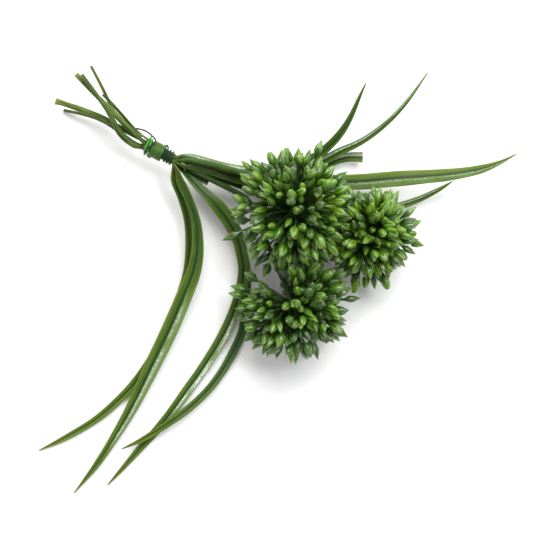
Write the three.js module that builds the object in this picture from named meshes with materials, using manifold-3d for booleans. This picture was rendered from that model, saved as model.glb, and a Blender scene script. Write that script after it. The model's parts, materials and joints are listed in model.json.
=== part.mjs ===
// A bunch of flowering chives lying on a table: three flower stems with round heads of green buds,
// nine strap leaves and a broken leaf base, held together by a wound strip and a wound thread.
// Millimetres. X runs to the right of the photo, Y up the photo and Z up from the table.
// The origin is on the table under the middle of the bunch.

import * as THREE from "three";
import { mergeVertices } from "three/addons/utils/BufferGeometryUtils.js";
import Module from "manifold-3d";

const wasm = await Module();
wasm.setup();

// Where the bunch is moved to, so that the origin is under its middle
const BUNCH_SHIFT = [1.24, 1.28, -0.09];

// Driving dimensions of the tie
const TIE_MIDDLE = new THREE.Vector3(-49.65, 53.3, 15);
const TIE_HEADING = THREE.MathUtils.degToRad(-28);
// Places along the tie where the slots are set, and how far they are spread there
const SLOT_STATIONS = [
  [-7, 1.15],
  [-5.5, 1.1],
  [5.5, 0.85],
  [7, 0.85],
];
const STEM_SLOT_RADIUS = 0.95;
const STEM_RADIUS_IN_TIE = 0.64;
const LEAF_SLOT_RADIUS = 2.15;
const LEAF_WIDTH_IN_TIE = 0.76;
const BAND_INNER_RADIUS = 2.8;
const BAND_THICKNESS = 0.4;
const BAND_WIDTH = 5.4;
const BAND_MIDDLE = -1.0;
const BAND_TURNS = 1.25;
const BAND_GROWTH_PER_TURN = 0.56;
const BAND_START = THREE.MathUtils.degToRad(225);
const BAND_STEPS_PER_TURN = 12;
const THREAD_RADIUS = 0.3;
const THREAD_STEPS_PER_TURN = 12;
const THREAD_SIDES = 5;
const THREAD_LIFT_STEEPNESS = 3;

// Driving dimensions of the leaves and stems
const LEAF_THICKNESS = 0.66;
const CHANNEL_DEPTH_SHARE = 0.12;
const LEAF_STEPS_PER_ROW = 2;
const STEM_SIDES = 7;
const STEM_STEPS_PER_ROW = 3;

// Driving dimensions of the heads and buds
const RECEPTACLE_RADIUS = 3.8;
const PEDICEL_RADIUS = 0.42;
const PEDICEL_ROOT = 2.2;
const BUD_LENGTH = 8.8;
const BUD_SIDES = 5;
const GOLDEN_ANGLE = Math.PI * (3 - Math.sqrt(5));
const BARE_ANGLE = THREE.MathUtils.degToRad(36);
const DIRECTION_JITTER = 0.07;
const REACH_JITTER = 0.07;
const SHORTEST_REACH_SHARE = 0.5;
const REACH_STEP_SHARE = 0.02;
const LOBE_SHARPNESS = 6;
const STRAY_ROOM = THREE.MathUtils.degToRad(10);
const CLEARANCE = 0.35;

// A bud's outline: share of its length from the neck to the tip, and its radius in millimetres
const BUD_OUTLINE = [
  [0, 0.5],
  [0.36, 1.9],
  [0.66, 1.5],
  [1, 0],
];

// Leaf rows are [x, y, z, width, roll in degrees] on the middle of the blade, from the cut to the tip.
// The slot is the angle of the leaf's place round the tie, in degrees from the photo's upper right.
const LEAVES = [
  {
    name: "leaf_1",
    slot: 182,
    behind: [],
    front: [
      [-44, 45.4, 14.2, 2.2, 50],
      [-43.6, 41.5, 13.8, 3.3, 25],
      [-40.6, 34, 12.3, 3.3, 15],
      [-38, 24, 9.8, 3.4, 12],
      [-37.4, 13.5, 7.5, 3.6, 0],
      [-38.3, 3.5, 5.8, 3.6, 0],
      [-40.6, -5, 4.8, 3.7, 0],
      [-45.3, -18, 3.9, 3.8, 5],
      [-51.5, -30.5, 3.2, 3.8, 8],
      [-60, -43.5, 2.4, 4, 8],
      [-68, -52, 1.9, 3.5, 8],
      [-78, -60.5, 1.4, 3.1, 6],
      [-93, -69.3, 1, 2.2, 3],
      [-102, -73.5, 0.8, 0.4, 0],
    ],
  },
  {
    name: "leaf_2",
    slot: 149,
    behind: [],
    front: [
      [-42.1, 45.2, 16.3, 2.2, -40],
      [-40.8, 41, 16.2, 3.5, -20],
      [-37.4, 33.8, 15.3, 3.6, -14],
      [-34.3, 23.7, 13.5, 4.2, -10],
      [-33.8, 12, 11.8, 5.2, 0],
      [-35.6, 2.7, 10.5, 6.2, 4],
      [-39.3, -6.6, 9.5, 6.8, 6],
      [-46, -22, 8, 7.1, 8],
      [-54.3, -39, 6.2, 6.6, 8],
      [-62.8, -56.2, 4, 5, 6],
      [-70.4, -69, 2.8, 3.7, 4],
      [-77.7, -80, 1.8, 2.7, 3],
      [-87, -91.7, 0.8, 0.4, 0],
    ],
  },
  {
    name: "leaf_3",
    slot: 214,
    behind: [
      [-91.5, 72, 0.8, 1.2],
      [-84, 70.2, 3.8, 1.2],
      [-76, 67.6, 6.6, 1.2],
      [-69, 63.4, 9, 1.4],
      [-64.4, 58.9, 10.8, 2.2],
      [-60.6, 55.7, 12.2, 1.6],
    ],
    front: [
      [-38, 43.3, 12.6, 3.2, 40],
      [-32.1, 37.2, 12, 4.2, 20],
      [-25.3, 30.5, 10.5, 6, 8],
      [-20.3, 23.9, 8.7, 6, 0],
      [-16.7, 17, 7.2, 5.6, 0],
      [-15.2, 10.3, 6.2, 5, 0],
      [-14.2, 3.5, 5.4, 5.2, 0],
      [-16.7, -9.3, 4.4, 5.2, 3],
      [-22, -22, 3.6, 4.9, 5],
      [-29.6, -35, 3, 4.7, 8],
      [-38.6, -47.8, 2.4, 4.5, 8],
      [-48, -60.5, 1.8, 3.9, 5],
      [-59.6, -73.5, 1.3, 2.9, 4],
      [-67, -82, 1, 1.8, 2],
      [-72.7, -88.3, 0.8, 0.4, 0],
    ],
  },
  {
    name: "leaf_4",
    slot: 245,
    behind: [],
    front: [
      [-36.8, 42.5, 8.4, 2, 20],
      [-31.2, 37.4, 8.8, 3, 10],
      [-25, 30.7, 7.2, 4, 0],
      [-19.7, 24, 5.5, 4.4, 0],
      [-16.3, 17, 4, 4.2, 0],
      [-14.8, 10.3, 2.9, 4, 0],
      [-13.8, 3.5, 2.2, 4, 0],
      [-13.4, -9.3, 1.8, 3.9, 0],
      [-15, -22, 1.8, 3.9, 5],
      [-18.7, -30.7, 2.2, 3.8, 8],
      [-23.4, -39.2, 2.8, 3.6, 8],
      [-29.8, -47.7, 3.6, 3.4, 8],
      [-38.7, -56, 4.4, 3.4, 6],
      [-47.8, -62.5, 4.6, 2.9, 5],
      [-58.3, -69, 4, 2.1, 3],
      [-66.6, -72.8, 2.8, 0.4, 0],
    ],
  },
  {
    name: "leaf_5",
    slot: 117,
    behind: [],
    front: [
      [-40, 47.4, 16.5, 1.2, -22],
      [-36, 46.8, 16.2, 2.4, -15],
      [-26, 44.6, 14.6, 3.6, -8],
      [-14.5, 42, 12.4, 5, -5],
      [1, 41.2, 8, 6.2, 0],
      [18, 40.8, 6.8, 6.6, 0],
      [35, 41, 10.4, 6.6, 5],
      [47.4, 42, 13, 6.7, 8],
      [60, 42.8, 15.2, 6, 8],
      [72.2, 43.7, 17.4, 5.1, 8],
      [84.5, 45.7, 19.4, 3.7, 6],
      [92.7, 48.5, 20.7, 1.9, 3],
      [99.5, 52, 21.5, 0.4, 0],
    ],
  },
  {
    name: "leaf_6",
    slot: 53,
    behind: [],
    front: [
      [-40, 51.7, 16.1, 1.2, 28],
      [-37, 51.2, 15.6, 2.6, 10],
      [-32.5, 49.8, 15.6, 3.5, 10],
      [-26, 47.8, 15.8, 3.6, 12],
      [-20, 46.3, 15.2, 4, 15],
      [-12.4, 45.4, 13.6, 4.2, 12],
      [3, 47.6, 9.6, 4.2, 5],
      [15, 51, 9, 4, -5],
      [22.2, 56.7, 12, 3.6, -15],
      [27.1, 62.3, 15, 3.1, -18],
      [30.7, 68.4, 18, 2.4, -20],
      [33.9, 75.6, 21, 1.4, -20],
      [36.5, 81.2, 23, 0.4, -20],
    ],
  },
  {
    name: "leaf_7",
    slot: 10,
    behind: [
      [-78.2, 89, 17.5, 1.2],
      [-73.6, 80, 16.9, 1.3],
      [-70.5, 73.4, 14.9, 1.3],
      [-67.6, 68.1, 14.2, 1.3],
      [-62.8, 63.2, 14.4, 1.1],
    ],
    front: [
      [-36, 50, 13.9, 2.2, 40],
      [-26, 46.9, 12.2, 3, 20],
      [-12, 44.6, 8.6, 3.4, 5],
      [6.5, 45.5, 5, 3.8, 0],
      [19, 50, 5.8, 3.8, -5],
      [26.6, 54, 8, 3.4, -8],
      [32.5, 56.5, 10, 3, -12],
      [39.2, 60.4, 12, 2.6, -15],
      [47.5, 67.1, 14.5, 2.1, -20],
      [54.5, 74.8, 16.5, 1.6, -20],
      [62.7, 86.2, 18, 0.4, -20],
    ],
  },
  {
    name: "leaf_8",
    slot: 338,
    behind: [
      [-73.5, 77.6, 13.5, 1.5],
      [-70.3, 74.2, 13, 1.3],
      [-65.5, 69, 12.8, 1.3],
      [-59.7, 62.6, 13, 1.1],
    ],
    front: [
      [-35.5, 49.4, 11.6, 2.2, -40],
      [-24.5, 45.6, 8.6, 3, -15],
      [-9.5, 43, 5, 3.6, 0],
      [7.5, 43.3, 2.6, 3.8, 0],
      [19, 47.6, 2.8, 3.8, -3],
      [25.7, 50.8, 3.6, 3.9, -6],
      [31, 51.8, 4.6, 4, -10],
      [36.2, 51.6, 5.5, 4.4, -10],
    ],
  },
  {
    name: "leaf_9",
    slot: 307,
    behind: [],
    front: [
      [-35, 47.3, 9.6, 1.8, -20],
      [-23.5, 42.4, 6.6, 3, -5],
      [-8, 37, 4, 3.4, 0],
      [9.5, 31.2, 2, 3.6, 0],
      [27, 28.2, 1.5, 3.6, 0],
      [42, 28.4, 1.8, 3.2, 0],
      [52.4, 31.1, 2.4, 3.1, -4],
      [61, 34.1, 3, 2.6, -6],
      [69.4, 38.3, 4, 1.7, -8],
      [74.5, 41.4, 5, 0.4, -8],
    ],
  },
  {
    name: "leaf_stub",
    slot: 276,
    behind: [],
    front: [
      [-37.6, 45.9, 11.2, 1.8, 0],
      [-33.3, 43, 10.5, 3.4, 0],
      [-29.2, 40.7, 10.6, 3.2, 0],
    ],
  },
];

// Stem rows are [x, y, z, radius] from the cut end to the head, whose middle is the last row.
// Round a head's middle, a lobe is a direction and how much further the buds reach there, a stray is the
// direction and reach of one bud that stands out, and a gap is the axis and angle of a cone without buds.
const FLOWER_STEMS = [
  {
    name: "flower_stem_1",
    slot: 90,
    behind: [
      [-84.5, 85.7, 16, 1.1],
      [-76.6, 77.3, 16.3, 1],
      [-69.4, 70.2, 16.5, 1.2],
      [-63, 63.6, 16.7, 1.2],
      [-58.8, 59.9, 16.5, 1],
    ],
    front: [
      [-34.5, 49.2, 18.5, 1.15],
      [-23, 46.6, 19.2, 1.2],
      [-11.5, 42.6, 20.8, 1.2],
      [-2, 36, 25.2, 1.15],
      [6.5, 28, 31, 1.1],
    ],
    headRadius: 28,
    lobes: [],
    strays: [
      [-0.4, -0.85, -0.33, 32.5],
      [-0.55, -0.78, -0.3, 30],
      [-0.42, -0.91, -0.04, 25],
      [-0.17, -0.95, -0.27, 26],
      [-0.3, -0.9, -0.3, 28],
      [0.18, -0.96, -0.21, 23.5],
      [-1, 0.02, 0, 27],
      [-0.93, -0.36, 0, 32.2],
      [-0.72, 0.69, 0, 30.3],
      [-0.62, 0.78, 0.05, 28.3],
      [-0.13, 0.99, 0, 27],
      [0.38, 0.92, 0, 31.5],
      [0.8, 0.6, 0, 27.5],
      [-0.39, 0.92, 0, 27.3],
      [0.08, 0.99, 0.1, 26.3],
      [0.24, 0.97, 0.05, 26.6],
      [0.69, 0.72, 0, 24.5],
      [-0.82, -0.52, -0.25, 25],
    ],
    headAxis: [0.55, -0.45, 0.7],
    budCount: 68,
    gaps: [
      [-0.33, -0.05, 0.94, 17],
      [-0.42, -0.06, -0.9, 24],
    ],
    seed: 11,
  },
  {
    name: "flower_stem_2",
    slot: 330,
    behind: [
      [-93.8, 75, 10, 1.5],
      [-92, 74.5, 10.1, 1.2],
      [-82.5, 71.2, 10.6, 1.2],
      [-74, 67.8, 11.4, 1.2],
      [-68, 64.6, 12.2, 1.1],
      [-62.5, 61.4, 12.9, 1],
      [-58.6, 59.2, 13.7, 0.85],
    ],
    front: [
      [-32.5, 47, 12.6, 1.1],
      [-20, 43, 9.9, 1.1],
      [-5, 36, 8.5, 1.1],
      [11.5, 27.5, 9.5, 1.1],
      [27, 21.5, 14.5, 1.1],
      [38.8, 17.8, 20.3, 1.1],
    ],
    headRadius: 22,
    lobes: [
      [-0.35, 0.9, 0.2, 0.1],
      [0.75, -0.66, 0, -0.1],
    ],
    strays: [
      [-0.34, -0.9, -0.26, 24],
      [-0.1, -0.96, -0.27, 23.3],
      [0.07, -0.97, -0.26, 23.4],
      [-0.29, -0.95, -0.1, 26],
      [-0.32, 0.92, -0.22, 20.5],
      [0.31, 0.95, 0, 20.5],
      [0.53, 0.85, 0, 22.4],
      [0.86, 0.51, 0, 22.8],
      [0.99, -0.15, 0, 23],
      [0.285, -0.96, 0, 24.3],
      [0.965, 0.26, 0, 22.4],
      [0.08, 0.99, 0.05, 20.6],
    ],
    headAxis: [1, -0.25, 0.1],
    budCount: 50,
    gaps: [],
    seed: 23,
  },
  {
    name: "flower_stem_3",
    slot: 210,
    behind: [
      [-81.8, 85.2, 19.5, 0.8],
      [-75, 75.8, 19.3, 0.9],
      [-71.6, 71, 19, 0.95],
      [-69, 66.4, 18.4, 1.05],
      [-66.2, 61.2, 16.8, 1.35],
      [-62.5, 57.8, 15.5, 1.5],
      [-59.3, 56.1, 14.9, 1.25],
    ],
    front: [
      [-36, 45.6, 13.9, 1.1],
      [-27.5, 41.4, 13.2, 1.1],
      [-17.5, 36.4, 11.4, 1.2],
      [-12, 32.4, 10.4, 1.2],
      [-7, 21, 9.6, 1.1],
      [0, 4.5, 13, 1.1],
      [6.8, -10.3, 22.6, 1.1],
    ],
    headRadius: 26.5,
    lobes: [],
    strays: [
      [-0.81, 0.49, -0.32, 26.8],
      [-0.96, 0.27, -0.09, 28],
      [-0.98, 0.16, -0.09, 28.2],
      [1, 0.08, 0, 28],
      [0.83, 0.53, 0.2, 26.5],
      [0.93, 0.37, 0.06, 24.6],
      [0.855, -0.52, 0, 26.5],
      [0, -1, 0, 25.5],
      [-0.53, -0.85, 0, 25.5],
      [-0.8, -0.6, 0, 26.5],
      [-0.67, -0.74, -0.1, 26.5],
      [-0.3, -0.95, 0, 24.5],
      [0.64, -0.77, 0, 22.5],
      [0.97, 0.22, 0.05, 25],
    ],
    headAxis: [0.2, -0.9, 0.35],
    budCount: 58,
    gaps: [
      [-0.68, 0.7, 0.1, 26],
      [-0.55, 0.57, 0.6, 22],
      [-0.34, 0.36, 0.87, 18],
      [-0.6, 0.62, -0.5, 22],
    ],
    seed: 37,
  },
];

// The thread's coils: [turns, start along the tie, end along the tie, radius, end radius, bump over the band]
const THREAD_COILS = [
  [2.6, 6.2, 2.7, 2.68, 2.84, 0],
  [0.6, 2.7, -4.4, 2.84, 3.2, 1.45],
  [1.5, -4.4, -6.2, 3.2, 3.32, 0],
  [0.7, -6.2, -4.6, 4, 4, 0],
];
const THREAD_START = THREE.MathUtils.degToRad(18) + 2.6 * 2 * Math.PI;
const THREAD_FREE_END = [
  [-51.1, 57.4, 19.4],
  [-52.5, 59.6, 19.8],
  [-55.3, 61.7, 19.9],
  [-59.2, 62.8, 19.5],
];

// Colours of the pieces
const BUD_GREEN = new THREE.MeshStandardMaterial({ color: 0x4e7d2c, roughness: 0.45 });
const LEAF_GREEN = new THREE.MeshStandardMaterial({ color: 0x3f6b2e, roughness: 0.4 });
const BAND_GREEN = new THREE.MeshStandardMaterial({ color: 0x2f6a3c, roughness: 0.5 });
const THREAD_GREEN = new THREE.MeshStandardMaterial({ color: 0x1f5a38, roughness: 0.35 });

// The tie's own directions: along the stems, across them in the photo's plane, and up
const UP = new THREE.Vector3(0, 0, 1);
const TIE_ALONG = new THREE.Vector3(Math.cos(TIE_HEADING), Math.sin(TIE_HEADING), 0);
const TIE_ACROSS = new THREE.Vector3().crossVectors(UP, TIE_ALONG);

// A repeatable draw of numbers from 0 to 1
function seededDraw(seed) {
  let state = seed;
  return () => {
    state = (state * 1664525 + 1013904223) % 4294967296;
    return state / 4294967296;
  };
}

// A point of the tie's own cylinder
function tiePoint(along, radius, angle) {
  return TIE_MIDDLE.clone()
    .addScaledVector(TIE_ALONG, along)
    .addScaledVector(TIE_ACROSS, radius * Math.cos(angle))
    .addScaledVector(UP, radius * Math.sin(angle));
}

// The rows that carry a stem or leaf straight through the tie
function slotRows(angle, radius, ...rest) {
  return SLOT_STATIONS.map(([along, spread]) => [
    ...tiePoint(along, spread * radius, angle).toArray(),
    ...rest,
  ]);
}

// The roll, from -90 to 90 degrees, that lays a leaf flat against the tie at its slot
function slotRoll(slot) {
  return ((((180 - slot) % 180) + 180) % 180) - 90;
}

// Stations along rows of [x, y, z, ...values]: the place, the directions there and the blended values
function stationsAlong(rows, stepsPerRow) {
  const curve = new THREE.CatmullRomCurve3(
    rows.map(([x, y, z]) => new THREE.Vector3(x, y, z)),
    false,
    "centripetal",
  );
  const steps = (rows.length - 1) * stepsPerRow;
  const stations = [];
  for (let step = 0; step <= steps; step += 1) {
    const row = Math.min(Math.floor(step / stepsPerRow), rows.length - 2);
    const blend = step / stepsPerRow - row;
    const next = rows[row + 1].slice(3);
    const values = rows[row].slice(3).map((value, i) => THREE.MathUtils.lerp(value, next[i], blend));
    const tangent = curve.getTangent(step / steps);
    const level = new THREE.Vector3().crossVectors(tangent, UP).normalize();
    const rise = new THREE.Vector3().crossVectors(level, tangent);
    stations.push({ place: curve.getPoint(step / steps), tangent, level, rise, values });
  }
  return stations;
}

// A closed body through rings of points, with the end faces filled by the given triangles
function loft(rings, capTriangles) {
  const size = rings[0].length;
  const index = [];
  for (let ring = 0; ring < rings.length - 1; ring += 1) {
    for (let i = 0; i < size; i += 1) {
      const a = ring * size + i;
      const b = ring * size + ((i + 1) % size);
      // The same diagonal on both faces keeps a twisted blade at one thickness
      if (i < size / 2) index.push(a, b, a + size, b, b + size, a + size);
      else index.push(a, b, b + size, a, b + size, a + size);
    }
  }
  const last = (rings.length - 1) * size;
  capTriangles.forEach(([a, b, c]) => {
    index.push(a, c, b);
    index.push(last + a, last + b, last + c);
  });
  const geometry = new THREE.BufferGeometry().setFromPoints(rings.flat());
  geometry.setIndex(index);
  return geometry;
}

// Triangles that fill a round ring from its first point
function fan(size) {
  return Array.from({ length: size - 2 }, (_, i) => [0, i + 1, i + 2]);
}

// A leaf's rows from its cut end to its tip
function leafRows(leaf) {
  const roll = slotRoll(leaf.slot);
  const angle = THREE.MathUtils.degToRad(leaf.slot);
  return [
    ...leaf.behind.map((row, i) => [...row, (roll * i) / leaf.behind.length]),
    ...slotRows(angle, LEAF_SLOT_RADIUS, LEAF_WIDTH_IN_TIE, roll),
    ...leaf.front,
  ];
}

// A leaf's stations with the blade's own directions and half width
function leafStations(leaf, stepsPerRow) {
  return stationsAlong(leafRows(leaf), stepsPerRow).map((station) => {
    const [width, roll] = station.values;
    const turn = THREE.MathUtils.degToRad(roll);
    const side = station.level
      .clone()
      .multiplyScalar(Math.cos(turn))
      .addScaledVector(station.rise, Math.sin(turn));
    const face = new THREE.Vector3().crossVectors(side, station.tangent).normalize();
    return { ...station, side, face, halfWidth: width / 2, halfThickness: LEAF_THICKNESS / 2 };
  });
}

// How far a leaf's edges stand above its middle: a leaf is flat in the tie and channelled where it is wide
function channelLift(halfWidth) {
  return CHANNEL_DEPTH_SHARE * Math.max(2 * halfWidth - LEAF_WIDTH_IN_TIE, 0);
}

// A leaf's section: a shallow channel with three points on each face
function leafRing({ place, side, face, halfWidth }) {
  const edgeLift = channelLift(halfWidth);
  const point = (across, lift) => place.clone().addScaledVector(side, across).addScaledVector(face, lift);
  const top = LEAF_THICKNESS / 2;
  return [
    point(-halfWidth, edgeLift + top),
    point(0, top),
    point(halfWidth, edgeLift + top),
    point(halfWidth, edgeLift - top),
    point(0, -top),
    point(-halfWidth, edgeLift - top),
  ];
}

function leafGeometry(leaf) {
  const rings = leafStations(leaf, LEAF_STEPS_PER_ROW).map(leafRing);
  return loft(rings, [
    [0, 1, 4],
    [0, 4, 5],
    [1, 2, 3],
    [1, 3, 4],
  ]);
}

// A flower stem's rows from its cut end to the middle of its head
function stemRows(stem) {
  const angle = THREE.MathUtils.degToRad(stem.slot);
  return [...stem.behind, ...slotRows(angle, STEM_SLOT_RADIUS, STEM_RADIUS_IN_TIE), ...stem.front];
}

// A round section at a station
function roundRing({ place, level, rise, values: [radius] }, sides) {
  return Array.from({ length: sides }, (_, i) => {
    const turn = (-2 * Math.PI * i) / sides;
    return place
      .clone()
      .addScaledVector(level, radius * Math.cos(turn))
      .addScaledVector(rise, radius * Math.sin(turn));
  });
}

function stemGeometry(stem) {
  const stations = stationsAlong(stemRows(stem), STEM_STEPS_PER_ROW);
  const rings = stations.map((station) => roundRing(station, STEM_SIDES));
  return loft(rings, fan(STEM_SIDES));
}

// A geometry as a closed solid, without the collapsed triangles at its points
function solidOf(geometry) {
  const bare = geometry.clone();
  bare.deleteAttribute("normal");
  bare.deleteAttribute("uv");
  const merged = mergeVertices(bare, 1e-4);
  const corners = merged.index.array;
  const kept = [];
  for (let i = 0; i < corners.length; i += 3) {
    const [a, b, c] = corners.slice(i, i + 3);
    if (a !== b && b !== c && a !== c) kept.push(a, b, c);
  }
  return new wasm.Manifold(
    new wasm.Mesh({
      numProp: 3,
      vertProperties: merged.attributes.position.array,
      triVerts: new Uint32Array(kept),
    }),
  );
}

// A solid as a geometry
function geometryOf(solid) {
  const mesh = solid.getMesh();
  const geometry = new THREE.BufferGeometry();
  geometry.setAttribute("position", new THREE.BufferAttribute(mesh.vertProperties, 3));
  geometry.setIndex(new THREE.BufferAttribute(mesh.triVerts, 1));
  return geometry;
}

// The middle of a stem's head
function headMiddle(stem) {
  return new THREE.Vector3(...stem.front.at(-1).slice(0, 3));
}

// The planes that part a head from its two neighbours, each as a direction and a distance from the middle
function partingPlanes(stem) {
  return FLOWER_STEMS.filter((other) => other !== stem).map((other) => {
    const toOther = headMiddle(other).sub(headMiddle(stem));
    const distance = toOther.length();
    const offset = (distance ** 2 + stem.headRadius ** 2 - other.headRadius ** 2) / (2 * distance);
    return { direction: toOther.normalize(), offset: offset - CLEARANCE / 2 };
  });
}

// The directions and reaches of the buds that are placed by hand
function strayPlaces(stem) {
  return stem.strays.map(([x, y, z, reach]) => {
    const direction = new THREE.Vector3(x, y, z).normalize();
    return { direction, reach };
  });
}

// Stations along each bud that is placed by hand
function strayStations(stem) {
  return strayPlaces(stem).map(({ direction, reach }) => {
    const side = new THREE.Vector3().crossVectors(direction, UP).normalize();
    const face = new THREE.Vector3().crossVectors(side, direction);
    return Array.from({ length: Math.floor(reach - RECEPTACLE_RADIUS) }, (_, i) => {
      const distance = reach - i;
      const radius = budRadiusAt(distance, reach);
      const place = headMiddle(stem).addScaledVector(direction, distance);
      return { place, side, face, tangent: direction, halfWidth: radius, halfThickness: radius };
    });
  });
}

// The stations of every leaf, of the other flower stems and of their buds that are placed by hand,
// which the buds of one head keep clear of
function obstaclesOf(stem) {
  const fineSteps = 8;
  const blades = LEAVES.map((leaf) => leafStations(leaf, fineSteps));
  const stems = FLOWER_STEMS.filter((other) => other !== stem).map((other) =>
    stationsAlong(stemRows(other), fineSteps).map((station) => {
      const [radius] = station.values;
      const { level: side, rise: face } = station;
      return { ...station, side, face, halfWidth: radius, halfThickness: radius };
    }),
  );
  const strays = FLOWER_STEMS.filter((other) => other !== stem).flatMap(strayStations);
  return [...blades, ...stems, ...strays].flatMap((stations) =>
    stations.map((station, i) => {
      const next = stations[Math.min(i + 1, stations.length - 1)];
      const before = stations[Math.max(i - 1, 0)];
      return { ...station, halfStep: next.place.distanceTo(before.place) / 4 };
    }),
  );
}

// How far a point is from the piece of leaf or stem round a station
function distanceTo(obstacle, point) {
  const away = point.clone().sub(obstacle.place);
  const beyond = (direction, half) => Math.max(Math.abs(away.dot(direction)) - half, 0);
  const edgeLift = channelLift(obstacle.halfWidth);
  return Math.hypot(
    beyond(obstacle.side, obstacle.halfWidth),
    beyond(obstacle.face, obstacle.halfThickness + edgeLift),
    beyond(obstacle.tangent, obstacle.halfStep),
  );
}

// A bud's radius at a distance from the head's middle
function budRadiusAt(distance, reach) {
  const share = (distance - (reach - BUD_LENGTH)) / BUD_LENGTH;
  if (share <= 0) return PEDICEL_RADIUS;
  const next = BUD_OUTLINE.findIndex(([at]) => at >= Math.min(share, 1));
  const [fromShare, fromRadius] = BUD_OUTLINE[Math.max(next - 1, 0)];
  const [toShare, toRadius] = BUD_OUTLINE[Math.max(next, 1)];
  return THREE.MathUtils.mapLinear(share, fromShare, toShare, fromRadius, toRadius);
}

// Whether a bud with this direction and reach is above the table and clear of everything else
function isClear(stem, direction, reach, planes, obstacles) {
  const middle = headMiddle(stem);
  const stationCount = Math.ceil(reach);
  for (let station = Math.ceil(RECEPTACLE_RADIUS); station <= stationCount; station += 1) {
    const distance = Math.min(station, reach);
    const radius = budRadiusAt(distance, reach);
    const point = middle.clone().addScaledVector(direction, distance);
    if (point.z < radius) return false;
    for (const plane of planes) {
      if (direction.dot(plane.direction) * distance + radius > plane.offset) return false;
    }
    for (const obstacle of obstacles) {
      if (distanceTo(obstacle, point) < radius + CLEARANCE) return false;
    }
  }
  return true;
}

// How much further than its head's radius a bud reaches, where the head has a lobe
function lobeShare(stem, direction) {
  return stem.lobes.reduce((share, [x, y, z, extra]) => {
    const facing = Math.max(direction.dot(new THREE.Vector3(x, y, z).normalize()), 0);
    return share + extra * facing ** LOBE_SHARPNESS;
  }, 1);
}

// Whether a direction lies in one of the head's bare cones
function isInGap(stem, direction) {
  return stem.gaps.some(([x, y, z, angle]) => {
    const axis = new THREE.Vector3(x, y, z);
    return direction.angleTo(axis) < THREE.MathUtils.degToRad(angle);
  });
}

// The directions and reaches of a head's buds: an even spiral round the head's axis with small seeded shifts
function budPlaces(stem) {
  const draw = seededDraw(stem.seed);
  const axis = new THREE.Vector3(...stem.headAxis).normalize();
  const turnToAxis = new THREE.Quaternion().setFromUnitVectors(UP, axis);
  const planes = partingPlanes(stem);
  const obstacles = obstaclesOf(stem);
  const lowestCosine = -Math.cos(BARE_ANGLE);
  const places = strayPlaces(stem);
  const strayCount = places.length;
  for (let bud = 0; bud < stem.budCount; bud += 1) {
    const cosine = THREE.MathUtils.lerp(1, lowestCosine, (bud + 0.5) / stem.budCount);
    const sine = Math.sqrt(1 - cosine ** 2);
    const turn = bud * GOLDEN_ANGLE;
    const shift = () => (2 * draw() - 1) * DIRECTION_JITTER;
    const direction = new THREE.Vector3(sine * Math.cos(turn), sine * Math.sin(turn), cosine)
      .add(new THREE.Vector3(shift(), shift(), shift()))
      .normalize()
      .applyQuaternion(turnToAxis);
    const fullShare = (1 - draw() * 2 * REACH_JITTER) * lobeShare(stem, direction);
    const strays = places.slice(0, strayCount);
    const nearStray = strays.some((stray) => direction.angleTo(stray.direction) < STRAY_ROOM);
    if (isInGap(stem, direction) || nearStray) continue;
    for (let share = fullShare; share >= SHORTEST_REACH_SHARE; share -= REACH_STEP_SHARE) {
      const reach = share * stem.headRadius;
      if (isClear(stem, direction, reach, planes, obstacles)) {
        places.push({ direction, reach });
        break;
      }
    }
  }
  return places;
}

// One bud on its pedicel, from its root inside the receptacle to its tip
function budGeometry(middle, { direction, reach }) {
  const neck = reach - BUD_LENGTH;
  const outline = [
    new THREE.Vector2(0, PEDICEL_ROOT),
    new THREE.Vector2(PEDICEL_RADIUS, PEDICEL_ROOT),
    ...BUD_OUTLINE.map(([share, radius]) => new THREE.Vector2(radius, neck + share * BUD_LENGTH)),
  ];
  const turn = new THREE.Quaternion().setFromUnitVectors(new THREE.Vector3(0, 1, 0), direction);
  return new THREE.LatheGeometry(outline, BUD_SIDES).applyQuaternion(turn).translate(...middle.toArray());
}

// A flower stem with its receptacle and buds in one piece
function flowerStemGeometry(stem) {
  const middle = headMiddle(stem);
  const receptacle = new THREE.IcosahedronGeometry(RECEPTACLE_RADIUS, 1).translate(...middle.toArray());
  const core = solidOf(stemGeometry(stem)).add(solidOf(receptacle));
  const buds = budPlaces(stem).map((place) => solidOf(budGeometry(middle, place)));
  return geometryOf(buds.reduce((whole, bud) => whole.add(bud), core));
}

// The strip wound round the stems, its end lying over its start
function bandGeometry() {
  const steps = Math.round(BAND_TURNS * BAND_STEPS_PER_TURN);
  const rings = [];
  for (let step = 0; step <= steps; step += 1) {
    const turns = step / BAND_STEPS_PER_TURN;
    const angle = BAND_START + 2 * Math.PI * turns;
    const inner = BAND_INNER_RADIUS + BAND_GROWTH_PER_TURN * turns;
    const outer = inner + BAND_THICKNESS;
    const near = BAND_MIDDLE - BAND_WIDTH / 2;
    const far = BAND_MIDDLE + BAND_WIDTH / 2;
    rings.push([
      tiePoint(near, inner, angle),
      tiePoint(far, inner, angle),
      tiePoint(far, outer, angle),
      tiePoint(near, outer, angle),
    ]);
  }
  return loft(rings, fan(4));
}

// The thread's path: coils round the stems, a crossing over the band, and the free end
function threadRows() {
  const rows = [];
  let angle = THREAD_START;
  THREAD_COILS.forEach(([turns, from, to, radius, endRadius, bump]) => {
    const steps = Math.round(turns * THREAD_STEPS_PER_TURN);
    for (let step = 0; step < steps; step += 1) {
      const share = step / steps;
      const along = THREE.MathUtils.lerp(from, to, share);
      const lift = bump * Math.min(1, THREAD_LIFT_STEEPNESS * Math.sin(Math.PI * share));
      const away = THREE.MathUtils.lerp(radius, endRadius, share) + lift;
      rows.push(tiePoint(along, away, angle - 2 * Math.PI * turns * share).toArray());
    }
    angle -= 2 * Math.PI * turns;
  });
  return [...rows, ...THREAD_FREE_END].map((row) => [...row, THREAD_RADIUS]);
}

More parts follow.
